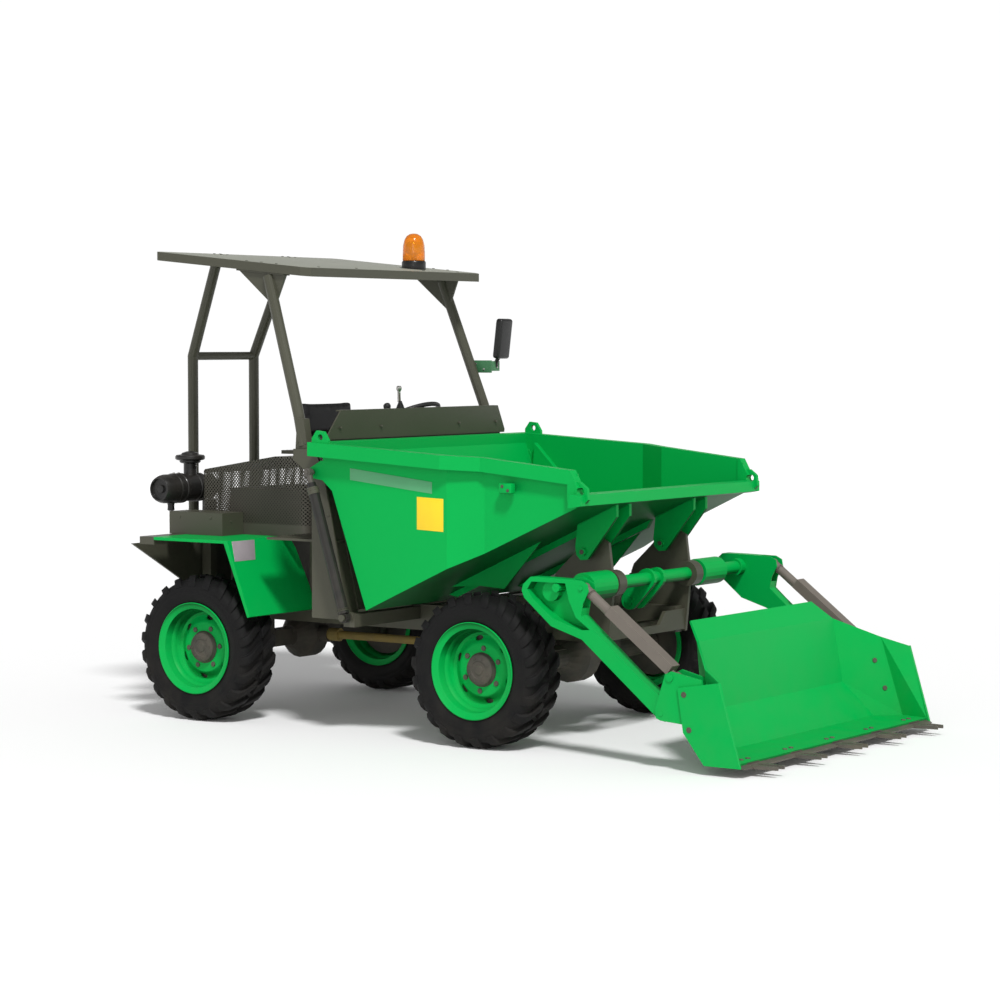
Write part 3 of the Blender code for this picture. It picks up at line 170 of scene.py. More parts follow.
# Painted shade: faces that point down are darkened, standing in for the shade that falls under the machine.
# The mask grows as the face turns downward.
painted_underside_shade, given, out = shader_group("painted_underside_shade", (("Amount", "Float", 0.5),), (("Mask", "Float"),))
facing = wire(painted_underside_shade, "NewGeometry").outputs["Normal"]
downward = wire(painted_underside_shade, "SeparateXYZ", {0: facing}).outputs["Z"]
below = wire(painted_underside_shade, "MapRange", {0: downward, 1: -0.25, 2: -0.60, 3: 0.0, 4: 1.0}).outputs[0]
painted_underside_shade.links.new(sum_of(painted_underside_shade, "MULTIPLY", below, given["Amount"], True), out["Mask"])

DUST = (0.20, 0.165, 0.12, 1)


def surface(label, colour, rough, metal=0.0, coat=0.0, tone=0.10, scale=2.0, fine=300.0, bump=0.05,
            worn=None, wear=0.0, dust=0.15, top=0.9, radius=0.002, shine=0.30, under=0.0):
    """A finish: its colour drifts, its edges show worn, dust lies low on it, and faces that point down can be
    darkened with painted shade.
    """
    made = bpy.data.materials.new(label)
    made.use_nodes = True
    tree = made.node_tree
    shader = tree.nodes["Principled BSDF"]
    shader.inputs["Metallic"].default_value = metal
    shader.inputs["Coat Weight"].default_value = coat
    shader.inputs["Coat Roughness"].default_value = 0.12
    shader.inputs["Specular IOR Level"].default_value = shine
    drift = wire(tree, "Group", node_tree=sheet_tone)
    drift.inputs["Scale"].default_value = scale
    drift.inputs["Fine"].default_value = fine
    edge = wire(tree, "Group", node_tree=rubbed_edge)
    edge.inputs["Radius"].default_value = radius
    edge.inputs["Amount"].default_value = wear
    settled = wire(tree, "Group", node_tree=yard_dust)
    settled.inputs["Amount"].default_value = dust
    settled.inputs["Top"].default_value = top
    dark = tuple(c * (1 - tone) for c in colour) + (1,)
    light = tuple(min(1, c * (1 + tone)) for c in colour) + (1,)
    body = blend_of(tree, drift.outputs["Tone"], dark, light)
    body = blend_of(tree, edge.outputs["Mask"], body, tuple(worn or light[:3]) + (1,))
    body = blend_of(tree, settled.outputs["Mask"], body, DUST)
    # Painted shade: downward faces blend towards a tenth of the paint colour. The skip green takes it
    # strongly.
    if under:
        underside_shade = wire(tree, "Group", node_tree=painted_underside_shade)
        underside_shade.inputs["Amount"].default_value = under
        body = blend_of(tree, underside_shade.outputs["Mask"], body, tuple(c * 0.10 for c in colour) + (1,))
    tree.links.new(body, shader.inputs["Base Color"])
    gloss = wire(tree, "MapRange", {0: drift.outputs["Tone"], 1: 0.3, 2: 0.7, 3: rough - 0.05,
        4: rough + 0.05}).outputs[0]
    gloss = sum_of(tree, "ADD", gloss, sum_of(tree, "MULTIPLY", settled.outputs["Mask"], 0.5), True)
    tree.links.new(gloss, shader.inputs["Roughness"])
    relief = wire(tree, "Bump", {"Strength": bump, "Distance": 0.001, "Height": drift.outputs["Grain"],
                                 "Normal": edge.outputs["Normal"]})
    tree.links.new(relief.outputs[0], shader.inputs["Normal"])
    return made


def dress(names, finish):
    """Gives carried-over solids their finish."""
    for name in names:
        for slot in nodes[name].material_slots:
            slot.material = finish


# Frame, axles and steering: welded box rails, cast axle housings and forged links,
# all sprayed in a dull umbra grey. The drive shaft keeps its ochre primer.
umbra = surface("umbra_grey", (0.066, 0.066, 0.046), 0.42, tone=0.12, fine=500.0, bump=0.10,
                worn=(0.16, 0.15, 0.12), wear=0.5, dust=0.25, top=0.8)
shaft_primer = surface("shaft_ochre", (0.30, 0.22, 0.06), 0.6, tone=0.2, scale=14.0, wear=0.6,
                       worn=(0.12, 0.09, 0.06), dust=0.5)
cast_grey = surface("cast_grey", (0.045, 0.043, 0.036), 0.6, tone=0.25, scale=12.0, fine=160.0, bump=0.35,
                    worn=(0.12, 0.11, 0.09), wear=0.5, dust=0.55, top=0.9)
dress(("chassis_frame", "front_tower", "rear_deck", "rear_panel", "cowl", "dash_panel", "battery_box",
    "rear_posts",
       "front_post_l", "front_post_r", "canopy_roof", "seat_base"), umbra)
dress(("rear_axle", "front_axle", "knuckle_l", "knuckle_r", "tie_rod", "engine_block"), cast_grey)
dress(("drive_shaft",), shaft_primer)


# Tyres: moulded industrial tyres with square-shouldered lugs that wrap over the edge, set by half
# a pitch from side to side, and a rubbing ring on the wall.
def clear_pick():
    """Nothing selected, in object mode."""
    if bpy.context.mode != "OBJECT":
        bpy.ops.object.mode_set(mode="OBJECT")
    bpy.ops.object.select_all(action="DESELECT")


def turned_up(label, steps, sides=64, ends=False):
    """A round piece about the vertical, pulled up ring by ring from (radius, height) steps, as on a lathe."""
    clear_pick()
    bpy.ops.mesh.primitive_circle_add(vertices=sides, radius=steps[0][0], location=(0, 0, steps[0][1]))
    made = bpy.context.object
    made.name = label
    bpy.ops.object.transform_apply(location=True)
    bpy.ops.object.mode_set(mode="EDIT")
    bpy.ops.mesh.select_mode(type="VERT")
    bpy.ops.mesh.select_all(action="SELECT")
    for (r0, z0), (r1, z1) in zip(steps, steps[1:]):
        bpy.ops.mesh.extrude_region_move(TRANSFORM_OT_translate={"value": (0, 0, z1 - z0)})
        bpy.ops.transform.resize(value=(r1 / r0, r1 / r0, 1), center_override=(0, 0, z1))
    bpy.ops.mesh.select_all(action="SELECT")
    bpy.ops.mesh.remove_doubles(threshold=0.00002)
    if ends:
        bpy.ops.mesh.fill_holes(sides=0)
    bpy.ops.mesh.select_all(action="SELECT")
    bpy.ops.mesh.normals_make_consistent(inside=False)
    bpy.ops.object.mode_set(mode="OBJECT")
    return made


def set_in(made, at=(0, 0, 0), turn=(0, 0, 0), angle=35, finish=None):
    """Turns and moves a finished piece to its place, shades it and paints it."""
    clear_pick()
    made.select_set(True)
    bpy.context.view_layer.objects.active = made
    made.rotation_euler = [math.radians(a) for a in turn]
    made.location = at
    bpy.ops.object.transform_apply(location=True, rotation=True, scale=True)
    bpy.ops.object.shade_smooth_by_angle(angle=math.radians(angle))
    if finish:
        made.data.materials.clear()
        made.data.materials.append(finish)
    return made


def copy_of(made, label):
    """A copy with its own mesh."""
    twin = made.copy()
    twin.data = made.data.copy()
    twin.name = label
    bpy.context.scene.collection.objects.link(twin)
    return twin


def joined(first, others, label):
    """Several pieces as one object."""
    clear_pick()
    for piece in others:
        piece.select_set(True)
    first.select_set(True)
    bpy.context.view_layer.objects.active = first
    bpy.ops.object.join()
    first.name = label
    return first


def eased(made, width, rings=2):
    """Bevels every edge of a piece."""
    bpy.ops.object.mode_set(mode="EDIT")
    bpy.ops.mesh.select_all(action="SELECT")
    bpy.ops.mesh.bevel(offset=width, segments=rings)
    bpy.ops.object.mode_set(mode="OBJECT")
    return made


def block(label, size, at, width=None, rings=2):
    """A rectangular block with its place in its mesh, its edges eased unless no width is given."""
    clear_pick()
    bpy.ops.mesh.primitive_cube_add(size=1, location=at)
    made = bpy.context.object
    made.name = label
    made.scale = size
    bpy.ops.object.transform_apply(location=True, scale=True)
    return eased(made, width, rings) if width else made


def one_bolt(size):
    """A hexagon head with a chamfered crown on its washer, seated on z = 0."""
    clear_pick()
    bpy.ops.mesh.primitive_cylinder_add(vertices=6, radius=size, depth=size * 0.7,
        location=(0, 0, size * 0.55))
    head = eased(bpy.context.object, size * 0.1, 1)
    bpy.ops.mesh.primitive_cylinder_add(vertices=16, radius=size * 1.35, depth=size * 0.2,
        location=(0, 0, size * 0.1))
    washer = eased(bpy.context.object, size * 0.04, 1)
    return set_in(joined(head, [washer], "bolt"), angle=30)


def bolts(label, spots, size, body, finish):
    """One bolt at each (point, direction out of the sheet), as one piece on its body."""
    seed = one_bolt(size)
    row = []
    for i, (point, way) in enumerate(spots):
        twin = copy_of(seed, label + str(i))
        spin = Matrix.Rotation(0.7 * i, 4, "Z")
        twin.data.transform(Matrix.Translation(point) @ Vector(way).to_track_quat("Z",
            "Y").to_matrix().to_4x4() @ spin)
        row.append(twin)
    bpy.data.objects.remove(seed)
    made = joined(row[0], row[1:], label)
    made.data.materials.clear()
    made.data.materials.append(finish)
    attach(made, body)
    return made


TREAD_R = 0.3845
PITCHES = 22
rubber = surface("tyre_rubber", (0.0055, 0.0055, 0.0058), 0.70, tone=0.35, scale=9.0, fine=400.0, bump=0.25,
                 worn=(0.022, 0.021, 0.020), wear=0.6, dust=0.07, top=0.75, radius=0.003, shine=0.18)
half_wall = [
    (0.2170, -0.1080), (0.2360, -0.1095), (0.2480, -0.1140), (0.2640, -0.1235), (0.2860, -0.1305),
        (0.2980, -0.1318),
    (0.3020, -0.1300), (0.3100, -0.1300), (0.3140, -0.1314), (0.3330, -0.1270), (0.3500, -0.1160),
        (0.3600, -0.1000),
    (0.3650, -0.0820), (0.3665, -0.0300),
]
carcass = turned_up("carcass", half_wall + [(r, -z) for r, z in reversed(half_wall)] + [half_wall[0]], 72)
LUG_H = 0.030
stations = ((TREAD_R, 0.004, 0), (TREAD_R, 0.062, 0), (0.3835, 0.090, 14), (0.3735, 0.1125, 48),
    (0.3530, 0.1265, 76), (0.3300, 0.1312, 86))
clear_pick()
bpy.ops.mesh.primitive_plane_add(size=1, location=(TREAD_R - LUG_H / 2, 0, stations[0][1]))
lug = bpy.context.object
lug.scale = (LUG_H, 0.044, 1)
bpy.ops.object.transform_apply(location=True, scale=True)
bpy.ops.object.mode_set(mode="EDIT")
bpy.ops.mesh.select_all(action="SELECT")
bpy.ops.mesh.duplicate()
bpy.ops.mesh.flip_normals()


def lug_centre(station):
    r, z, lean = station
    lean = math.radians(lean)
    return Vector((r - math.cos(lean) * LUG_H / 2, 0, z - math.sin(lean) * LUG_H / 2))


for first, second in zip(stations, stations[1:]):
    step = lug_centre(second) - lug_centre(first)
    bpy.ops.mesh.extrude_region_move(TRANSFORM_OT_translate={"value": step})
    bpy.ops.transform.rotate(value=math.radians(second[2] - first[2]), orient_axis="Y",
                             center_override=lug_centre(second))
bpy.ops.mesh.select_all(action="SELECT")
bpy.ops.mesh.remove_doubles(threshold=0.0001)
bpy.ops.mesh.normals_make_consistent(inside=False)
bpy.ops.object.mode_set(mode="OBJECT")
twist = lug.modifiers.new("slant", "SIMPLE_DEFORM")
twist.deform_method = "TWIST"
twist.deform_axis = "Z"
twist.angle = math.radians(-13)
bpy.ops.object.modifier_apply(modifier=twist.name)
soften = lug.modifiers.new("moulded", "BEVEL")
soften.width = 0.003
soften.segments = 2
soften.limit_method = "ANGLE"
soften.angle_limit = math.radians(40)
bpy.ops.object.modifier_apply(modifier=soften.name)
row = []
for k in range(PITCHES * 2):
    twin = copy_of(lug, "lug" + str(k))
    turn = Matrix.Rotation(math.pi * k / PITCHES, 4, "Z")
    if k % 2:
        turn = turn @ Matrix.Rotation(math.pi, 4, "X")
    twin.data.transform(turn)
    row.append(twin)
bpy.data.objects.remove(lug)
tyre = joined(carcass, row, "tyre")
set_in(tyre, angle=40, finish=rubber)


# Rims: a welded steel rim with a dished, pressed disc, sprayed green after it is bolted up.
# The disc has six hand holes and a bolting face, and the hub behind it stays bare cast grey.
green = surface("skip_green", (0.0, 0.375, 0.066), 0.46, tone=0.06, scale=1.6, fine=260.0, bump=0.05,
                worn=(0.06, 0.50, 0.15), wear=0.35, dust=0.06, top=0.7, shine=0.10, under=0.85)
bright_steel = surface("bright_steel", (0.42, 0.41, 0.39), 0.34, metal=0.9, tone=0.2, scale=20.0, fine=500.0,
    bump=0.1,
                       worn=(0.6, 0.6, 0.58), wear=0.5, dust=0.3)
half_rim = [
    (0.2165, 0.1085), (0.2370, 0.1095), (0.2425, 0.1150), (0.2428, 0.1212), (0.2390, 0.1228),
        (0.2340, 0.1185),
    (0.2220, 0.1135), (0.2090, 0.1080), (0.2060, 0.0950), (0.2045, 0.0620), (0.1965, 0.0520),
        (0.1925, 0.0400),
]
rim = turned_up("rim", half_rim + [(r, -z) for r, z in reversed(half_rim)] + [half_rim[0]], 72)
disc = turned_up("disc", [
    (0.0600, 0.0300), (0.1260, 0.0300), (0.1380, 0.0265), (0.1540, 0.0100), (0.1700, 0.0055),
        (0.1850, 0.0130),
    (0.1930, 0.0310), (0.1930, 0.0210), (0.1870, 0.0040), (0.1700, -0.0045), (0.1520, 0.0000),
        (0.1360, 0.0175),
    (0.1240, 0.0210), (0.0600, 0.0210), (0.0600, 0.0300),
], 72)
for k in range(6):
    clear_pick()
    bpy.ops.mesh.primitive_cylinder_add(vertices=24, radius=0.0150, depth=0.08, location=(0.158, 0, 0.01))
    cutter = bpy.context.object
    cutter.scale = (0.85, 1.6, 1)
    bpy.ops.object.transform_apply(location=True, scale=True)
    cutter.data.transform(Matrix.Rotation(math.radians(60 * k + 17), 4, "Z"))
    hole = disc.modifiers.new("hand_hole", "BOOLEAN")
    hole.operation = "DIFFERENCE"
    hole.object = cutter
    clear_pick()
    disc.select_set(True)
    bpy.context.view_layer.objects.active = disc
    bpy.ops.object.modifier_apply(modifier=hole.name)
    bpy.data.objects.remove(cutter)
valve = turned_up("valve", [(0.004, 0.0), (0.0045, 0.02), (0.003, 0.021), (0.003, 0.036), (0.001, 0.0362)],
    10, ends=True)
valve.data.transform(Matrix.Translation((0.186, 0.01, 0.008)))
rim = joined(rim, [disc, valve], "rim")
set_in(rim, angle=35, finish=green)
hub = turned_up("hub", [
    (0.1800, -0.0340), (0.1810, -0.0320), (0.1810, -0.0140), (0.1750, -0.0110), (0.0900, -0.0100),
        (0.0860, 0.0215), (0.0860, 0.0345), (0.0810, 0.0385), (0.0765, 0.0530), (0.0700, 0.0580),
            (0.0460, 0.0592),
    (0.0430, 0.0560), (0.0250, 0.0560), (0.0225, 0.0598), (0.0050, 0.0600),
], 48, ends=True)
set_in(hub, angle=35, finish=cast_grey)
for tag in ("fl", "fr", "rl", "rr"):
    lo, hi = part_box("tyre_" + tag)
    middle = (Vector(lo) + Vector(hi)) / 2
    out = 1 if tag[1] == "l" else -1
    body = "wheel_" + tag
    spin = {"fl": 11, "fr": 24, "rl": 47, "rr": 5}[tag]
    for source, label in ((tyre, "tyre"), (rim, "rim"), (hub, "hub")):
        piece = copy_of(source, label + "_look_" + tag)
        piece.data.transform(Matrix.Translation(middle) @ Matrix.Rotation(-out * math.pi / 2, 4,
            "X") @ Matrix.Rotation(math.radians(spin), 4, "Z"))
        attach(piece, body)
        if label != "hub":
            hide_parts(label + "_" + tag)
    spots = []
    for count, ring, depth in ((6, 0.1075, 0.0300), (8, 0.0585, 0.0588)):
        for k in range(count):
            turn = 2 * math.pi * k / count + math.radians(spin)
            spots.append((middle + Vector((ring * math.cos(turn), out * depth, ring * math.sin(turn))),
                (0, out, 0)))
    bolts("wheel_nuts_" + tag, spots[:6], 0.0150, body, umbra)
    bolts("hub_bolts_" + tag, spots[6:], 0.0060, body, cast_grey)
for spare in (tyre, rim, hub):
    bpy.data.objects.remove(spare)


# Skip: a folded and welded steel wedge with a box-section rim, sprayed gloss green. The name
# strip, the notice plate and the rating plate are blank plates stuck on the sheet.
dress(("skip", "cross_tube", "arm_l", "arm_r", "bucket", "fender_l", "fender_r"), green)
strip_paint = surface("plate_mid_green", (0.090, 0.360, 0.160), 0.35, tone=0.08, scale=9.0, dust=0.1,
    wear=0.3, worn=(0.2, 0.4, 0.25))
notice_yellow = surface("plate_yellow", (0.92, 0.62, 0.02), 0.4, tone=0.06, scale=14.0, dust=0.1, wear=0.3,
    worn=(0.9, 0.8, 0.5))
plate_grey = surface("plate_grey", (0.42, 0.38, 0.40), 0.35, metal=0.3, tone=0.1, scale=18.0, dust=0.15,
    wear=0.3, worn=(0.7, 0.7, 0.7))


def stuck_plate(label, corners, thickness, body, finish):
    """A thin plate cut to four corners, with its edge slightly rounded."""
    clear_pick()
    bpy.ops.mesh.primitive_plane_add(size=1)
    plate = bpy.context.object
    plate.name = label
    for vertex, corner in zip(plate.data.vertices, (corners[0], corners[1], corners[3], corners[2])):
        vertex.co = corner
    thick = plate.modifiers.new("gauge", "SOLIDIFY")
    thick.thickness = thickness
    thick.offset = 0
    rounded_edge = plate.modifiers.new("edge", "BEVEL")
    rounded_edge.width = thickness * 0.3
    rounded_edge.segments = 2
    for step in ("gauge", "edge"):
        bpy.ops.object.modifier_apply(modifier=step)
    bpy.ops.object.mode_set(mode="EDIT")
    bpy.ops.mesh.select_all(action="SELECT")
    bpy.ops.mesh.normals_make_consistent(inside=False)
    bpy.ops.object.mode_set(mode="OBJECT")
    set_in(plate, finish=finish)
    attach(plate, body)
    return plate


REAR_AXLE_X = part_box("tyre_rr")[0][0] + 0.385
PANEL_Y = 0.9215
for side, tag in ((-1, "r"), (1, "l")):
    corners = [(REAR_AXLE_X + x, side * PANEL_Y, z) for x,
        z in ((1.058, 1.307), (1.571, 1.252), (1.571, 1.311), (1.058, 1.367))]
    stuck_plate("name_strip_" + tag, corners, 0.0016, "skip", strip_paint)
corners = [(REAR_AXLE_X + x, -PANEL_Y, z) for x,
    z in ((1.478, 1.072), (1.640, 1.066), (1.640, 1.229), (1.478, 1.235))]
stuck_plate("notice_plate", corners, 0.0016, "skip", notice_yellow)
corners = [Vector((REAR_AXLE_X + x + 0.0012, y, z + 0.0004)) for x, y,
    z in ((0.291, -0.918, 0.858), (0.291, -0.751, 0.858), (0.252, -0.712, 0.960), (0.252, -0.896, 0.960))]
stuck_plate("rating_plate", corners, 0.0014, "chassis", plate_grey)


# Skip fittings: the latch bracket on the right cheek, the washers and caps on the hinge pins,
# and weld beads where the hinge ears and the ribs meet the floor.
def ahead(x, y, z):
    """A point measured from the rear axle."""
    return Vector((REAR_AXLE_X + x, y, z))


spots = []
for side in (1, -1):
    for inner, way in ((0.287, -1), (0.4545, 1)):
        spots.append((ahead(2.150, side * inner, 0.960), (0, side * way, 0)))
bolts("hinge_pin_caps", spots, 0.013, "skip", umbra)
latch = block("latch_bracket", (0.075, 0.040, 0.050), ahead(1.985, -0.868, 1.290), 0.006)
set_in(latch, finish=green)
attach(latch, "skip")
bolts("latch_bolts", [(ahead(1.970, -0.888, 1.300), (0, -1, 0)), (ahead(2.003, -0.888, 1.280), (0, -1, 0))],
    0.009, "skip", umbra)


def weld(label, path, radius, body, finish):
    """A weld bead: a low rippled run along its path, half sunk in the joint."""
    clear_pick()
    start, end = Vector(path[0]), Vector(path[1])
    length = (end - start).length
    bpy.ops.mesh.primitive_cylinder_add(vertices=8, radius=radius, depth=length)
    bead = bpy.context.object
    bpy.ops.object.mode_set(mode="EDIT")
    bpy.ops.mesh.select_all(action="SELECT")
    for k in range(1, int(length / 0.012)):
        bpy.ops.mesh.select_all(action="SELECT")
        bpy.ops.mesh.bisect(plane_co=(0, 0, -length / 2 + 0.012 * k), plane_no=(0, 0, 1))
        if k % 2:
            bpy.ops.transform.resize(value=(0.78, 0.78, 1), center_override=(0, 0, 0))
    bpy.ops.object.mode_set(mode="OBJECT")
    bead.name = label
    bead.data.transform(Matrix.Translation((start + end) / 2) @ (end - start).to_track_quat("Z",
        "Y").to_matrix().to_4x4())
    set_in(bead, finish=finish)
    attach(bead, body)
    return bead


def floor_under(x):
    return 0.650 + (1.207 - 0.650) * (x - 1.157) / (2.360 - 1.157)


for tag, side in (("r", -1), ("l", 1)):
    for k, y in enumerate((0.299, 0.3205, 0.4195, 0.441)):
        weld("ear_weld_%s%d" % (tag, k), (ahead(2.125, side * y, floor_under(2.125) - 0.001),
            ahead(2.340, side * y, floor_under(2.340) - 0.001)),
             0.005, "skip", green)


# Loader: two plate arms welded to a cross tube, and a folded bucket with bolted-on wear plates,
# a ground cutting edge and double-shank teeth.
edge_steel = surface("worn_steel", (0.105, 0.098, 0.085), 0.48, metal=0.35, tone=0.3, scale=24.0, fine=300.0,
    bump=0.2,
                     worn=(0.30, 0.28, 0.25), wear=0.9, dust=0.5, top=0.3)
guard_brown = surface("guard_brown", (0.150, 0.130, 0.110), 0.5, tone=0.14, scale=7.0, fine=400.0, bump=0.12,
                      worn=(0.28, 0.25, 0.21), wear=0.7, dust=0.2)
chrome = surface("chrome_rod", (0.62, 0.62, 0.61), 0.14, metal=1.0, tone=0.06, scale=30.0, fine=700.0,
    bump=0.03,
                 wear=0.2, worn=(0.8, 0.8, 0.8), dust=0.05)
dress(("cutting_edge", "tip_rod_l", "tip_rod_r"), edge_steel)
dress(("bucket_rod_l", "bucket_rod_r"), guard_brown)
dress(("lift_rod",), chrome)
black_paint = surface("black", (0.014, 0.014, 0.013), 0.42, tone=0.2, scale=6.0, fine=400.0, bump=0.12,
                      worn=(0.07, 0.07, 0.065), wear=0.6, dust=0.25, top=1.5)
dress(("tip_barrel_l", "tip_barrel_r", "tip_stage_l", "tip_stage_r", "lift_barrel"), black_paint)
dress(("bucket_barrel_l", "bucket_barrel_r"), guard_brown)


def on_sheet(name, start, way):
    """Where a line from start meets this solid, and the sheet's own direction there."""
    shell = nodes[name]
    hit, place, normal, _ = shell.ray_cast(Vector(start), Vector(way).normalized())
    if not hit:
        raise ValueError("no sheet of %s there" % name)
    if normal.dot(Vector(way)) > 0:
        normal.negate()
    return place, normal


outside = []
for side in (1, -1):
    for x, z in ((3.063, 0.368), (3.092, 0.205)):
        outside.append((ahead(x, side * 0.985, z), (0, side, 0)))
inside = []
for side in (1, -1):
    for x, z in ((3.110, 0.360), (3.150, 0.215)):
        place, normal = on_sheet("bucket", ahead(x, side * 0.3, z), (0, side, 0))
        inside.append((place, normal))
bolts("wear_plate_nuts", inside, 0.014, "bucket", umbra)
caps = []
for i, (place, way) in enumerate(outside):
    cap = turned_up("cap" + str(i), [(0.0140, 0.0), (0.0140, 0.0016), (0.0110, 0.0032), (0.0040, 0.0037),
        (0.001, 0.0037)], 20, ends=True)
    cap.data.transform(Matrix.Translation(place) @ Vector(way).to_track_quat("Z", "Y").to_matrix().to_4x4())
    caps.append(cap)
caps = joined(caps[0], caps[1:], "wear_plate_bolts")
set_in(caps, finish=umbra)
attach(caps, "bucket")
TOOTH_Y = (-0.83, -0.415, 0, 0.415, 0.83)
spots = []
for y in TOOTH_Y:
    for leg in (-0.030, 0.030):
        place, normal = on_sheet("bucket", ahead(3.300, y + leg, 0.20), (0, 0, -1))
        spots.append((place, normal))
bolts("tooth_bolts", spots, 0.013, "bucket", edge_steel)
clamps = [block("clamp", (0.050, 0.118, 0.010), ahead(3.322, y, 0.0595), 0.003) for y in TOOTH_Y]
clamps = joined(clamps[0], clamps[1:], "tooth_clamps")
set_in(clamps, finish=edge_steel)
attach(clamps, "bucket")


# Cylinders: drawn tubes with a screwed gland at the mouth, a wiper ring and a weld at the foot.
def gland(label, start, end, along, radius, length, body, finish):
    """A gland nut with three grooves round a cylinder's mouth."""
    start, end = Vector(start), Vector(end)
    run = (end - start).normalized()
    steps = [(radius * 0.96, 0.0), (radius * 1.10, 0.001)]
    for k in range(3):
        z = length * (0.12 + 0.27 * k)
        steps += [(radius * 1.10, z), (radius * 1.05, z + 0.0015), (radius * 1.05, z + 0.004),
            (radius * 1.10, z + 0.0055)]
    steps += [(radius * 1.10, length - 0.002), (radius * 1.04, length), (radius * 0.96, length),
        (radius * 0.96, 0.0)]
    ring = turned_up(label, steps, 32)
    ring.data.transform(Matrix.Translation(start + run * along) @ run.to_track_quat("Z",
        "Y").to_matrix().to_4x4())
    set_in(ring, finish=finish)
    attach(ring, body)
    return ring


for tag, side in (("l", 1), ("r", -1)):
    y = side * 0.957
    base, top = ahead(1.050, y, 0.610), ahead(0.820, y, 1.340)
    length = (top - base).length
    gland("tip_gland_" + tag, base, top, length - 0.075 - 0.040, 0.0282, 0.036, "tip_barrel_" + tag, umbra)
    gland("tip_foot_ring_" + tag, base, top, 0.034, 0.0280, 0.014, "tip_barrel_" + tag, umbra)
    y = side * 0.915
    head, pin = ahead(2.470, y, 0.830), ahead(2.980, y, 0.440)
    gland("bucket_gland_" + tag, head, pin, 0.362, 0.0240, 0.034, "bucket_barrel_" + tag, guard_brown)
    gland("bucket_foot_ring_" + tag, head, pin, 0.040, 0.0240, 0.012, "bucket_barrel_" + tag, guard_brown)
base, lever = ahead(1.620, 0, 0.620), ahead(2.180, 0, 0.690)
gland("lift_gland", base, lever, (lever - base).length - 0.102, 0.040, 0.038, "lift_barrel", umbra)


# Engine cover: perforated sheet folded into a box with rounded corners, riveted to a plain
# skirt, with a solid top that carries the seat.
perforated = surface("perforated_umbra", (0.070, 0.066, 0.052), 0.5, tone=0.15, scale=6.0, fine=300.0,
    bump=0.1,
                     worn=(0.16, 0.14, 0.12), wear=0.4, dust=0.25, top=1.2)
tree = perforated.node_tree
laid = wire(tree, "UVMap", uv_map="laid_out").outputs[0]
turned_45 = wire(tree, "Mapping", {0: laid, "Rotation": (0, 0, math.radians(45)),
    "Scale": (1, 1, 1)}).outputs[0]
cells = wire(tree, "TexVoronoi", {"Vector": turned_45, "Scale": 1 / 0.0145, "Randomness": 0.0},
    voronoi_dimensions="2D").outputs["Distance"]
holed = sum_of(tree, "LESS_THAN", cells, 0.36)
rise = wire(tree, "SeparateXYZ", {0: laid}).outputs["Y"]
above = sum_of(tree, "GREATER_THAN", rise, 0.062)
open_part = sum_of(tree, "MULTIPLY", holed, above)
tree.links.new(sum_of(tree, "SUBTRACT", 1.0, open_part), tree.nodes["Principled BSDF"].inputs["Alpha"])
lo, hi = (Vector(c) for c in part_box("engine_cover"))
cover = block("engine_cover_look", hi - lo, (lo + hi) / 2)
bpy.ops.object.mode_set(mode="EDIT")
for x in (-0.270, 0.220):
    bpy.ops.mesh.select_all(action="SELECT")
    bpy.ops.mesh.bisect(plane_co=ahead(x, 0, 0), plane_no=(1, 0, 0))
bpy.ops.object.mode_set(mode="OBJECT")
for vertex in cover.data.vertices:
    if vertex.co.z > hi.z - 0.001:
        x = vertex.co.x - REAR_AXLE_X
        if x < -0.28:
            vertex.co.z -= 0.102
        elif x < 0.0:
            vertex.co.z -= 0.080
bpy.ops.object.mode_set(mode="EDIT")
bpy.ops.mesh.select_mode(type="EDGE")
bpy.ops.mesh.select_all(action="DESELECT")
bpy.ops.object.mode_set(mode="OBJECT")
for edge in cover.data.edges:
    a, b = (cover.data.vertices[i].co for i in edge.vertices)
    edge.select = abs(a.x - b.x) < 1e-4 and abs(a.y - b.y) < 1e-4 and (min(abs(a.x - lo.x),
        abs(a.x - hi.x)) < 1e-3)
bpy.ops.object.mode_set(mode="EDIT")
bpy.ops.mesh.bevel(offset=0.045, segments=6)
bpy.ops.mesh.select_mode(type="FACE")
bpy.ops.mesh.select_all(action="DESELECT")
bpy.ops.object.mode_set(mode="OBJECT")
for face in cover.data.polygons:
    face.select = face.normal.z < -0.5
bpy.ops.object.mode_set(mode="EDIT")
bpy.ops.mesh.delete(type="FACE")
bpy.ops.mesh.select_mode(type="VERT")
bpy.ops.object.mode_set(mode="OBJECT")
cover.data.materials.append(perforated)
cover.data.materials.append(umbra)
laid_out = cover.data.uv_layers.new(name="laid_out")
for face in cover.data.polygons:
    face.material_index = 1 if face.normal.z > 0.5 else 0
    for loop in face.loop_indices:
        co = cover.data.vertices[cover.data.loops[loop].vertex_index].co
        run = co.x if abs(face.normal.y) > abs(face.normal.x) else co.y
        laid_out.data[loop].uv = (run, co.z - lo.z)
gauge = cover.modifiers.new("gauge", "SOLIDIFY")
gauge.thickness = 0.0025
gauge.offset = -1
bpy.ops.object.modifier_apply(modifier=gauge.name)
set_in(cover, angle=30)
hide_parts("engine_cover")
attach(cover, "chassis")
spots = []
for x in (-0.22, -0.05, 0.12, 0.36):
    for side in (1, -1):
        spots.append((ahead(x, side * 0.5, 0.985), (0, side, 0)))
bolts("cover_screws", spots, 0.006, "chassis", umbra)


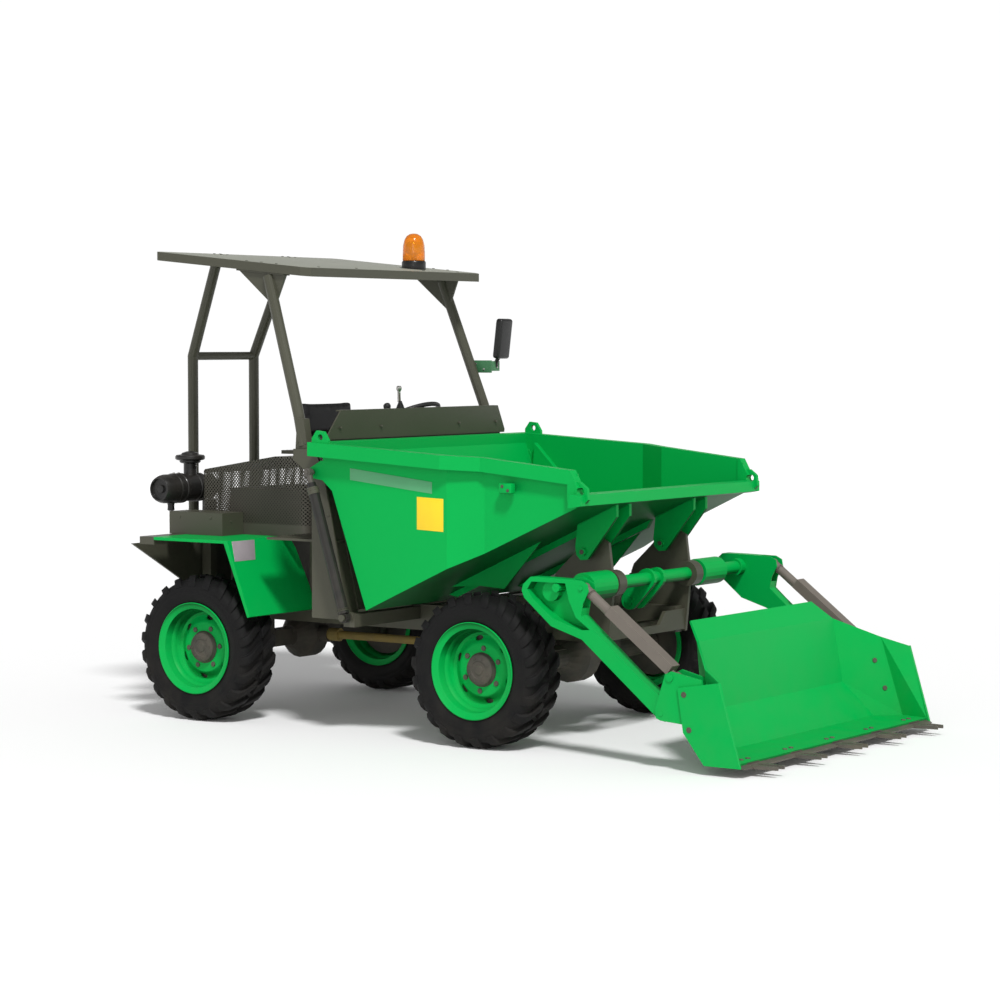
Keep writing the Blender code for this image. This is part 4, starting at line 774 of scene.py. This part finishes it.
# Air filter: a moulded canister on its side with clamp bands, ribs, a rubber dust valve and a
# pre-cleaner bowl on top, bolted to a bracket beside the cover.
plastic = surface("filter_plastic", (0.012, 0.012, 0.012), 0.38, coat=0.15, tone=0.25, scale=10.0, fine=600.0,
    bump=0.15,
                  worn=(0.05, 0.05, 0.05), wear=0.6, dust=0.3, top=1.6)
canister = turned_up("air_filter_look", [
    (0.034, 0.000), (0.040, 0.002), (0.040, 0.060), (0.062, 0.064), (0.068, 0.070), (0.068, 0.150),
        (0.074, 0.156), (0.0790, 0.160),
    (0.0790, 0.182), (0.0740, 0.186), (0.0740, 0.200), (0.0790, 0.204), (0.0790, 0.214), (0.0740, 0.218),
        (0.0740, 0.300),
    (0.0790, 0.306), (0.0825, 0.310), (0.0825, 0.332), (0.0790, 0.336), (0.0790, 0.350), (0.0825, 0.354),
        (0.0825, 0.378),
    (0.0790, 0.384), (0.0790, 0.440), (0.0760, 0.462), (0.0700, 0.478), (0.0640, 0.4880), (0.0580, 0.4880),
        (0.0560, 0.470), (0.0220, 0.466),
    (0.0200, 0.476), (0.0050, 0.4780),
], 48, ends=True)
set_in(canister, ahead(-0.43, -0.21, 1.205), (90, 0, 0), 30)
bowl = turned_up("bowl", [
    (0.036, -0.14), (0.036, 0.002), (0.050, 0.004), (0.058, 0.010), (0.058, 0.018), (0.0760, 0.022),
        (0.0820, 0.028), (0.0820, 0.040),
    (0.0760, 0.048), (0.050, 0.052), (0.044, 0.060), (0.020, 0.068), (0.004, 0.070),
], 40, ends=True)
set_in(bowl, ahead(-0.43, -0.44, 1.335), (0, 0, 0), 30)
dust_valve = turned_up("dust_valve", [(0.026, 0.035), (0.026, 0.020), (0.022, 0.010), (0.020, -0.012),
    (0.022, -0.030), (0.014, -0.034), (0.004, -0.034)], 24, ends=True)
dust_valve.data.transform(Matrix.Diagonal((1, 0.8, 1, 1)))
set_in(dust_valve, ahead(-0.43, -0.60, 1.118), (0, 0, 0), 40)
bracket = block("filter_bracket", (0.060, 0.060, 0.168), ahead(-0.43, -0.28, 1.05), 0.006)
filter_look = joined(canister, [bowl, dust_valve, bracket], "air_filter_look")
set_in(filter_look, angle=30, finish=plastic)
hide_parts("air_filter")
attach(filter_look, "chassis")
bolts("bowl_clamp", [(ahead(-0.43 + 0.05, -0.44, 1.325), (1, 0, 0)), (ahead(-0.43, -0.536, 1.29), (0, 0, 1)),
    (ahead(-0.43, -0.576, 1.29), (0, 0, 1))],
      0.006, "chassis", bright_steel)
bolts("box_latches", [(ahead(-0.30, -0.675, 1.060), (0, -1, 0)), (ahead(-0.08, -0.675, 1.060), (0, -1, 0)),
    (ahead(0.0, -0.60, 1.040), (1, 0, 0))],
      0.008, "chassis", umbra)


# Seat: moulded foam under black vinyl, a thick cushion and a low back on a pan and a bent strut.
vinyl = surface("seat_vinyl", (0.020, 0.020, 0.021), 0.52, tone=0.2, scale=8.0, fine=900.0, bump=0.35,
                worn=(0.05, 0.05, 0.05), wear=0.2, dust=0.2, top=1.8)


def stuffed(label, node, shrink, cap, push):
    """Blows the pad up under its cover from a slightly smaller block, and holds the swelling to a cap."""
    lo, hi = (Vector(c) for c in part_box(node))
    pad = block(label, hi - lo - Vector((shrink, shrink, shrink)) * 2, (lo + hi) / 2)
    eased(pad, min(pad.dimensions) * 0.30, 3)
    bpy.context.view_layer.objects.active = pad
    pad.data.remesh_voxel_size = 0.006
    bpy.ops.object.voxel_remesh()
    start = [v.co.copy() for v in pad.data.vertices]
    cloth = pad.modifiers.new("stuffing", "CLOTH")
    cloth.settings.use_pressure = True
    cloth.settings.uniform_pressure_force = push
    cloth.settings.effector_weights.gravity = 0
    cloth.point_cache.frame_start = 1
    cloth.point_cache.frame_end = 20
    for step in range(1, 21):
        bpy.context.scene.frame_set(step)
    clear_pick()
    pad.select_set(True)
    bpy.context.view_layer.objects.active = pad
    bpy.ops.object.modifier_apply(modifier=cloth.name)
    bpy.context.scene.frame_set(1)
    for vertex, before in zip(pad.data.vertices, start):
        moved = vertex.co - before
        if moved.length > cap:
            vertex.co = before + moved * (cap / moved.length)
    smooth = pad.modifiers.new("cover", "SUBSURF")
    smooth.levels = 1
    smooth.render_levels = 1
    bpy.ops.object.modifier_apply(modifier=smooth.name)
    for vertex in pad.data.vertices:
        vertex.co.z = max(vertex.co.z, lo.z + 0.0005)
    set_in(pad, angle=60, finish=vinyl)
    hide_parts(node)
    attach(pad, "chassis")
    return pad


cushion = stuffed("seat_cushion_look", "seat_cushion", 0.007, 0.010, 4)
back = stuffed("seat_back_look", "seat_back", 0.006, 0.008, 4)


# Steering: a rubber-covered wheel on three pressed spokes with a spinner knob, its column in a
# moulded shroud that leans down to the bulkhead, and a lever with a bright tip on the dash.
grip_rubber = surface("grip_black", (0.016, 0.016, 0.016), 0.5, tone=0.2, scale=10.0, fine=800.0, bump=0.2,
                      worn=(0.06, 0.06, 0.06), wear=0.4, dust=0.15, top=1.9)
wheel_at = ahead(0.640, 0.140, 1.600)
lean = Vector((-0.41, 0, 0.912)).normalized()
clear_pick()
bpy.ops.mesh.primitive_torus_add(major_radius=0.168, minor_radius=0.0125, major_segments=72,
    minor_segments=14)
rim_ring = bpy.context.object
bosses = [turned_up("boss", [(0.020, -0.225), (0.026, -0.215), (0.021, -0.205), (0.021, -0.050),
    (0.030, -0.045), (0.040, -0.030),
                             (0.044, -0.006), (0.044, 0.004), (0.036, 0.012), (0.030, 0.014), (0.026, 0.012),
                                 (0.004, 0.012)], 40, ends=True)]
for k in range(3):
    turn = math.radians(90 + 120 * k)
    spoke = block("spoke", (0.142, 0.026, 0.006), (0.096, 0, -0.002))
    bpy.ops.object.mode_set(mode="EDIT")
    bpy.ops.mesh.select_all(action="SELECT")
    bpy.ops.mesh.bisect(plane_co=(0.11, 0, 0), plane_no=(1, 0, 0))
    bpy.ops.transform.resize(value=(1, 0.75, 1), center_override=(0.11, 0, 0))
    bpy.ops.object.mode_set(mode="OBJECT")
    eased(spoke, 0.0018)
    spoke.data.transform(Matrix.Rotation(turn, 4, "Z"))
    bosses.append(spoke)
knob = turned_up("knob", [(0.007, 0.000), (0.007, 0.030), (0.014, 0.036), (0.020, 0.048), (0.0205, 0.056),
    (0.017, 0.066), (0.009, 0.071), (0.002, 0.072)], 28, ends=True)
knob.data.transform(Matrix.Translation((0.0, -0.166, 0.008)))
bosses.append(knob)
steering = joined(rim_ring, bosses, "steering_look")
facing_up = Matrix((Vector((0.912, 0, 0.41)).normalized(), Vector((0, 1, 0)), lean)).transposed().to_4x4()
steering.data.transform(Matrix.Translation(wheel_at) @ facing_up)
set_in(steering, angle=40, finish=grip_rubber)
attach(steering, "chassis")
lower = turned_up("column_foot", [(0.034, 0.0), (0.034, 0.020), (0.028, 0.060), (0.022, 0.110),
    (0.0215, 0.112)], 28, ends=True)
foot = wheel_at - lean * 0.225
reach = Vector((0.060, 0, 0.014))
lower.data.transform(Matrix.Translation(foot + reach) @ (-reach).to_track_quat("Z",
    "Y").to_matrix().to_4x4() @ Matrix.Diagonal((1, 1, 0.6, 1)))
steering = joined(steering, [lower], "steering_look")
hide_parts("steering_column")
tip = turned_up("lever_tip", [(0.0075, -0.060), (0.0085, -0.059), (0.0085, -0.004), (0.0100, 0.000),
    (0.0150, 0.008), (0.0145, 0.020), (0.0080, 0.0262), (0.001, 0.0265)], 24, ends=True)
set_in(tip, ahead(0.800, -0.165, 1.744), finish=bright_steel)
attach(tip, "chassis")
gaiter_steps = []
for k in range(6):
    gaiter_steps += [(0.024 - 0.0028 * k, 0.007 * k), (0.020 - 0.0028 * k, 0.007 * k + 0.0035)]
gaiter = turned_up("lever_gaiter", gaiter_steps, 28, ends=True)
set_in(gaiter, ahead(0.812, -0.170, 1.6525), finish=grip_rubber)
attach(gaiter, "chassis")
bolts("dash_screws", [(ahead(0.829, y, 1.560), (1, 0, 0.05)) for y in (-0.70, -0.35, 0.35, 0.70)], 0.006,
    "chassis", umbra)


# Canopy: a flat sheet roof with a rolled edge, bolted through pads to four tube posts. The
# upper face is a paler paint than the rest, and dusty.
def roof_top(x):
    return 2.488 + (2.385 - 2.488) * (x + 0.384) / (0.674 + 0.384)


pale_top_paint = surface("canopy_top", (0.30, 0.31, 0.26), 0.5, tone=0.12, scale=3.0, fine=300.0, bump=0.1,
    dust=0.25, top=0.5)
tilt = Vector((0.0969, 0, 0.9953))
clear_pick()
bpy.ops.mesh.primitive_plane_add(size=1)
skin = bpy.context.object
skin.scale = (1.040, 1.556, 1)
bpy.ops.object.transform_apply(scale=True)
bpy.ops.object.mode_set(mode="EDIT")
bpy.ops.mesh.select_all(action="SELECT")
bpy.ops.mesh.bevel(offset=0.035, segments=6, affect="VERTICES")
bpy.ops.mesh.select_all(action="SELECT")
bpy.ops.mesh.extrude_region_move(TRANSFORM_OT_translate={"value": (0, 0, 0.0012)})
bpy.ops.mesh.inset(thickness=0.004, depth=0.0008)
bpy.ops.mesh.select_all(action="SELECT")
bpy.ops.mesh.normals_make_consistent(inside=False)
bpy.ops.object.mode_set(mode="OBJECT")
skin.name = "canopy_skin"
skin.data.transform(Matrix.Translation(ahead(0.145, 0,
    roof_top(0.145) - 0.0002)) @ Matrix.Rotation(math.atan2(0.0969, 0.9953), 4, "Y"))
set_in(skin, angle=20, finish=pale_top_paint)
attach(skin, "chassis")
spots = []
for side in (1, -1):
    for x, y in ((0.25, 0.760), (0.35, 0.760), (0.45, 0.760), (-0.35, 0.27), (-0.30, 0.32), (-0.35, 0.32),
        (-0.30, 0.27)):
        spots.append((ahead(x, side * y, roof_top(x) + 0.0018), tilt))
    spots.append((ahead(0.62, side * 0.30, roof_top(0.62) + 0.0018), tilt))
    spots.append((ahead(0.62, side * 0.62, roof_top(0.62) + 0.0018), tilt))
bolts("roof_bolts", spots, 0.008, "chassis", umbra)
spots = []
for side in (1, -1):
    for x, z in ((0.672, 1.485), (0.728, 1.485)):
        spots.append((ahead(x, side * 0.868, z), (0, side, 0)))
    for x, z in ((0.95, 0.66), (0.925, 0.90), (0.890, 1.12)):
        spots.append((ahead(x, side * 0.885, z), (0, side, 0)))
bolts("post_bolts", spots, 0.008, "chassis", umbra)
spots = []
for side in (1, -1):
    for dx, dy in ((-0.026, -0.036), (0.026, -0.036), (-0.026, 0.036), (0.026, 0.036)):
        spots.append((ahead(-0.561 + dx, side * 0.263 + dy, 0.978), (0, 0, 1)))
bolts("foot_bolts", spots, 0.007, "chassis", umbra)


# Beacon: an amber ribbed lens over a bright reflector on a black moulded base.
lens_amber = bpy.data.materials.new("amber_lens")
lens_amber.use_nodes = True
tree = lens_amber.node_tree
shader = tree.nodes["Principled BSDF"]
shader.inputs["Transmission Weight"].default_value = 0.45
shader.inputs["IOR"].default_value = 1.4
drift = wire(tree, "Group", node_tree=sheet_tone)
drift.inputs["Scale"].default_value = 14.0
tree.links.new(blend_of(tree, drift.outputs["Tone"], (0.95, 0.22, 0.005, 1), (1.0, 0.36, 0.02, 1)),
    shader.inputs["Base Color"])
tree.links.new(wire(tree, "MapRange", {0: drift.outputs["Grain"], 3: 0.08, 4: 0.22}).outputs[0],
    shader.inputs["Roughness"])
lo, hi = (Vector(c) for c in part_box("beacon"))
at = Vector(((lo.x + hi.x) / 2, (lo.y + hi.y) / 2, hi.z - 0.190))
base = turned_up("beacon_base", [(0.058, -0.012), (0.066, -0.010), (0.0672, -0.004), (0.0672, 0.030),
    (0.0640, 0.036), (0.0600, 0.038), (0.0560, 0.042), (0.004, 0.042)], 48, ends=True)
set_in(base, at, finish=plastic)
base.name = "beacon_base"
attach(base, "chassis")
ribbed = turned_up("beacon_lens", [(0.0600, 0.0382), (0.0622, 0.042), (0.0615, 0.080), (0.0590, 0.125),
    (0.0520, 0.155), (0.0400, 0.175), (0.0220, 0.187), (0.0040, 0.1897)], 60, ends=True)
for vertex in ribbed.data.vertices:
    if 0.045 < vertex.co.z < 0.150:
        around = math.atan2(vertex.co.y, vertex.co.x)
        swell = 1 + 0.006 * math.cos(30 * around)
        vertex.co.x *= swell
        vertex.co.y *= swell
set_in(ribbed, at, finish=lens_amber, angle=50)
ribbed.name = "beacon_lens"
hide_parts("beacon")
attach(ribbed, "chassis")
reflector = turned_up("beacon_reflector", [(0.012, 0.043), (0.012, 0.070), (0.030, 0.082), (0.034, 0.120),
    (0.024, 0.140), (0.004, 0.142)], 32, ends=True)
set_in(reflector, at, finish=bright_steel)
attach(reflector, "chassis")


# Mirror: a glass in a moulded black head on a short bent arm, clamped to a green bracket.
bracket_paint = surface("bracket_green", (0.06, 0.20, 0.09), 0.45, tone=0.2, scale=20.0, dust=0.2, top=1.0,
    wear=0.6, worn=(0.4, 0.42, 0.38))
glass = bpy.data.materials.new("mirror_glass")
glass.use_nodes = True
tree = glass.node_tree
shader = tree.nodes["Principled BSDF"]
shader.inputs["Metallic"].default_value = 1.0
drift = wire(tree, "Group", node_tree=sheet_tone)
tree.links.new(blend_of(tree, drift.outputs["Tone"], (0.75, 0.78, 0.80, 1), (0.82, 0.84, 0.85, 1)),
    shader.inputs["Base Color"])
tree.links.new(wire(tree, "MapRange", {0: drift.outputs["Grain"], 3: 0.02, 4: 0.06}).outputs[0],
    shader.inputs["Roughness"])
head = block("mirror_head", (0.046, 0.116, 0.226), (0, 0, 0), 0.016, 5)
lean_back = Matrix.Rotation(math.radians(7), 4, "Y")
head.data.transform(Matrix.Translation(ahead(0.7215, 0.915, 2.022)) @ lean_back)
clear_pick()
bpy.ops.curve.primitive_bezier_curve_add()
stalk = bpy.context.object
stalk.data.dimensions = "3D"
points = stalk.data.splines[0].bezier_points
for point, place, handle in zip(points, (ahead(0.683, 0.900, 1.862), ahead(0.716, 0.908, 1.945)),
    (Vector((0, 0, 0.04)), Vector((0.012, 0.003, 0.03)))):
    point.handle_left_type = point.handle_right_type = "FREE"
    point.co = place
    point.handle_left = place - handle
    point.handle_right = place + handle
stalk.data.bevel_depth = 0.0115
stalk.data.bevel_resolution = 4
stalk.data.use_fill_caps = True
bpy.ops.object.convert(target="MESH")
head = joined(head, [bpy.context.object], "mirror_head")
set_in(head, angle=45, finish=plastic)
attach(head, "chassis")
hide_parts("mirror")
clear_pick()
bpy.ops.mesh.primitive_plane_add(size=1)
pane = bpy.context.object
pane.scale = (0.190, 0.092, 1)
bpy.ops.object.transform_apply(scale=True)
bpy.ops.object.mode_set(mode="EDIT")
bpy.ops.mesh.select_all(action="SELECT")
bpy.ops.mesh.bevel(offset=0.014, segments=6, affect="VERTICES")
bpy.ops.mesh.select_all(action="SELECT")
bpy.ops.mesh.extrude_region_move(TRANSFORM_OT_translate={"value": (0, 0, 0.002)})
bpy.ops.mesh.select_all(action="SELECT")
bpy.ops.mesh.normals_make_consistent(inside=False)
bpy.ops.object.mode_set(mode="OBJECT")
pane.name = "mirror_glass"
pane.data.transform(Matrix.Translation(ahead(0.6985, 0.915,
    2.025)) @ lean_back @ Matrix.Rotation(-math.pi / 2, 4, "Y"))
set_in(pane, finish=glass)
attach(pane, "chassis")
plate = block("clamped_plate", (0.145, 0.008, 0.070), ahead(0.6175, 0.8502, 1.865), 0.0015)
tab = block("tab", (0.008, 0.080, 0.056), ahead(0.686, 0.890, 1.868), 0.0015)
plate = joined(plate, [tab], "mirror_bracket")
set_in(plate, finish=bracket_paint)
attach(plate, "chassis")
bolts("mirror_bolts", [(ahead(0.585, 0.846, 1.88), (0, -1, 0)), (ahead(0.640, 0.846, 1.85), (0, -1, 0)),
    (ahead(0.690, 0.905, 1.862), (1, 0, 0))],
      0.007, "chassis", bright_steel)
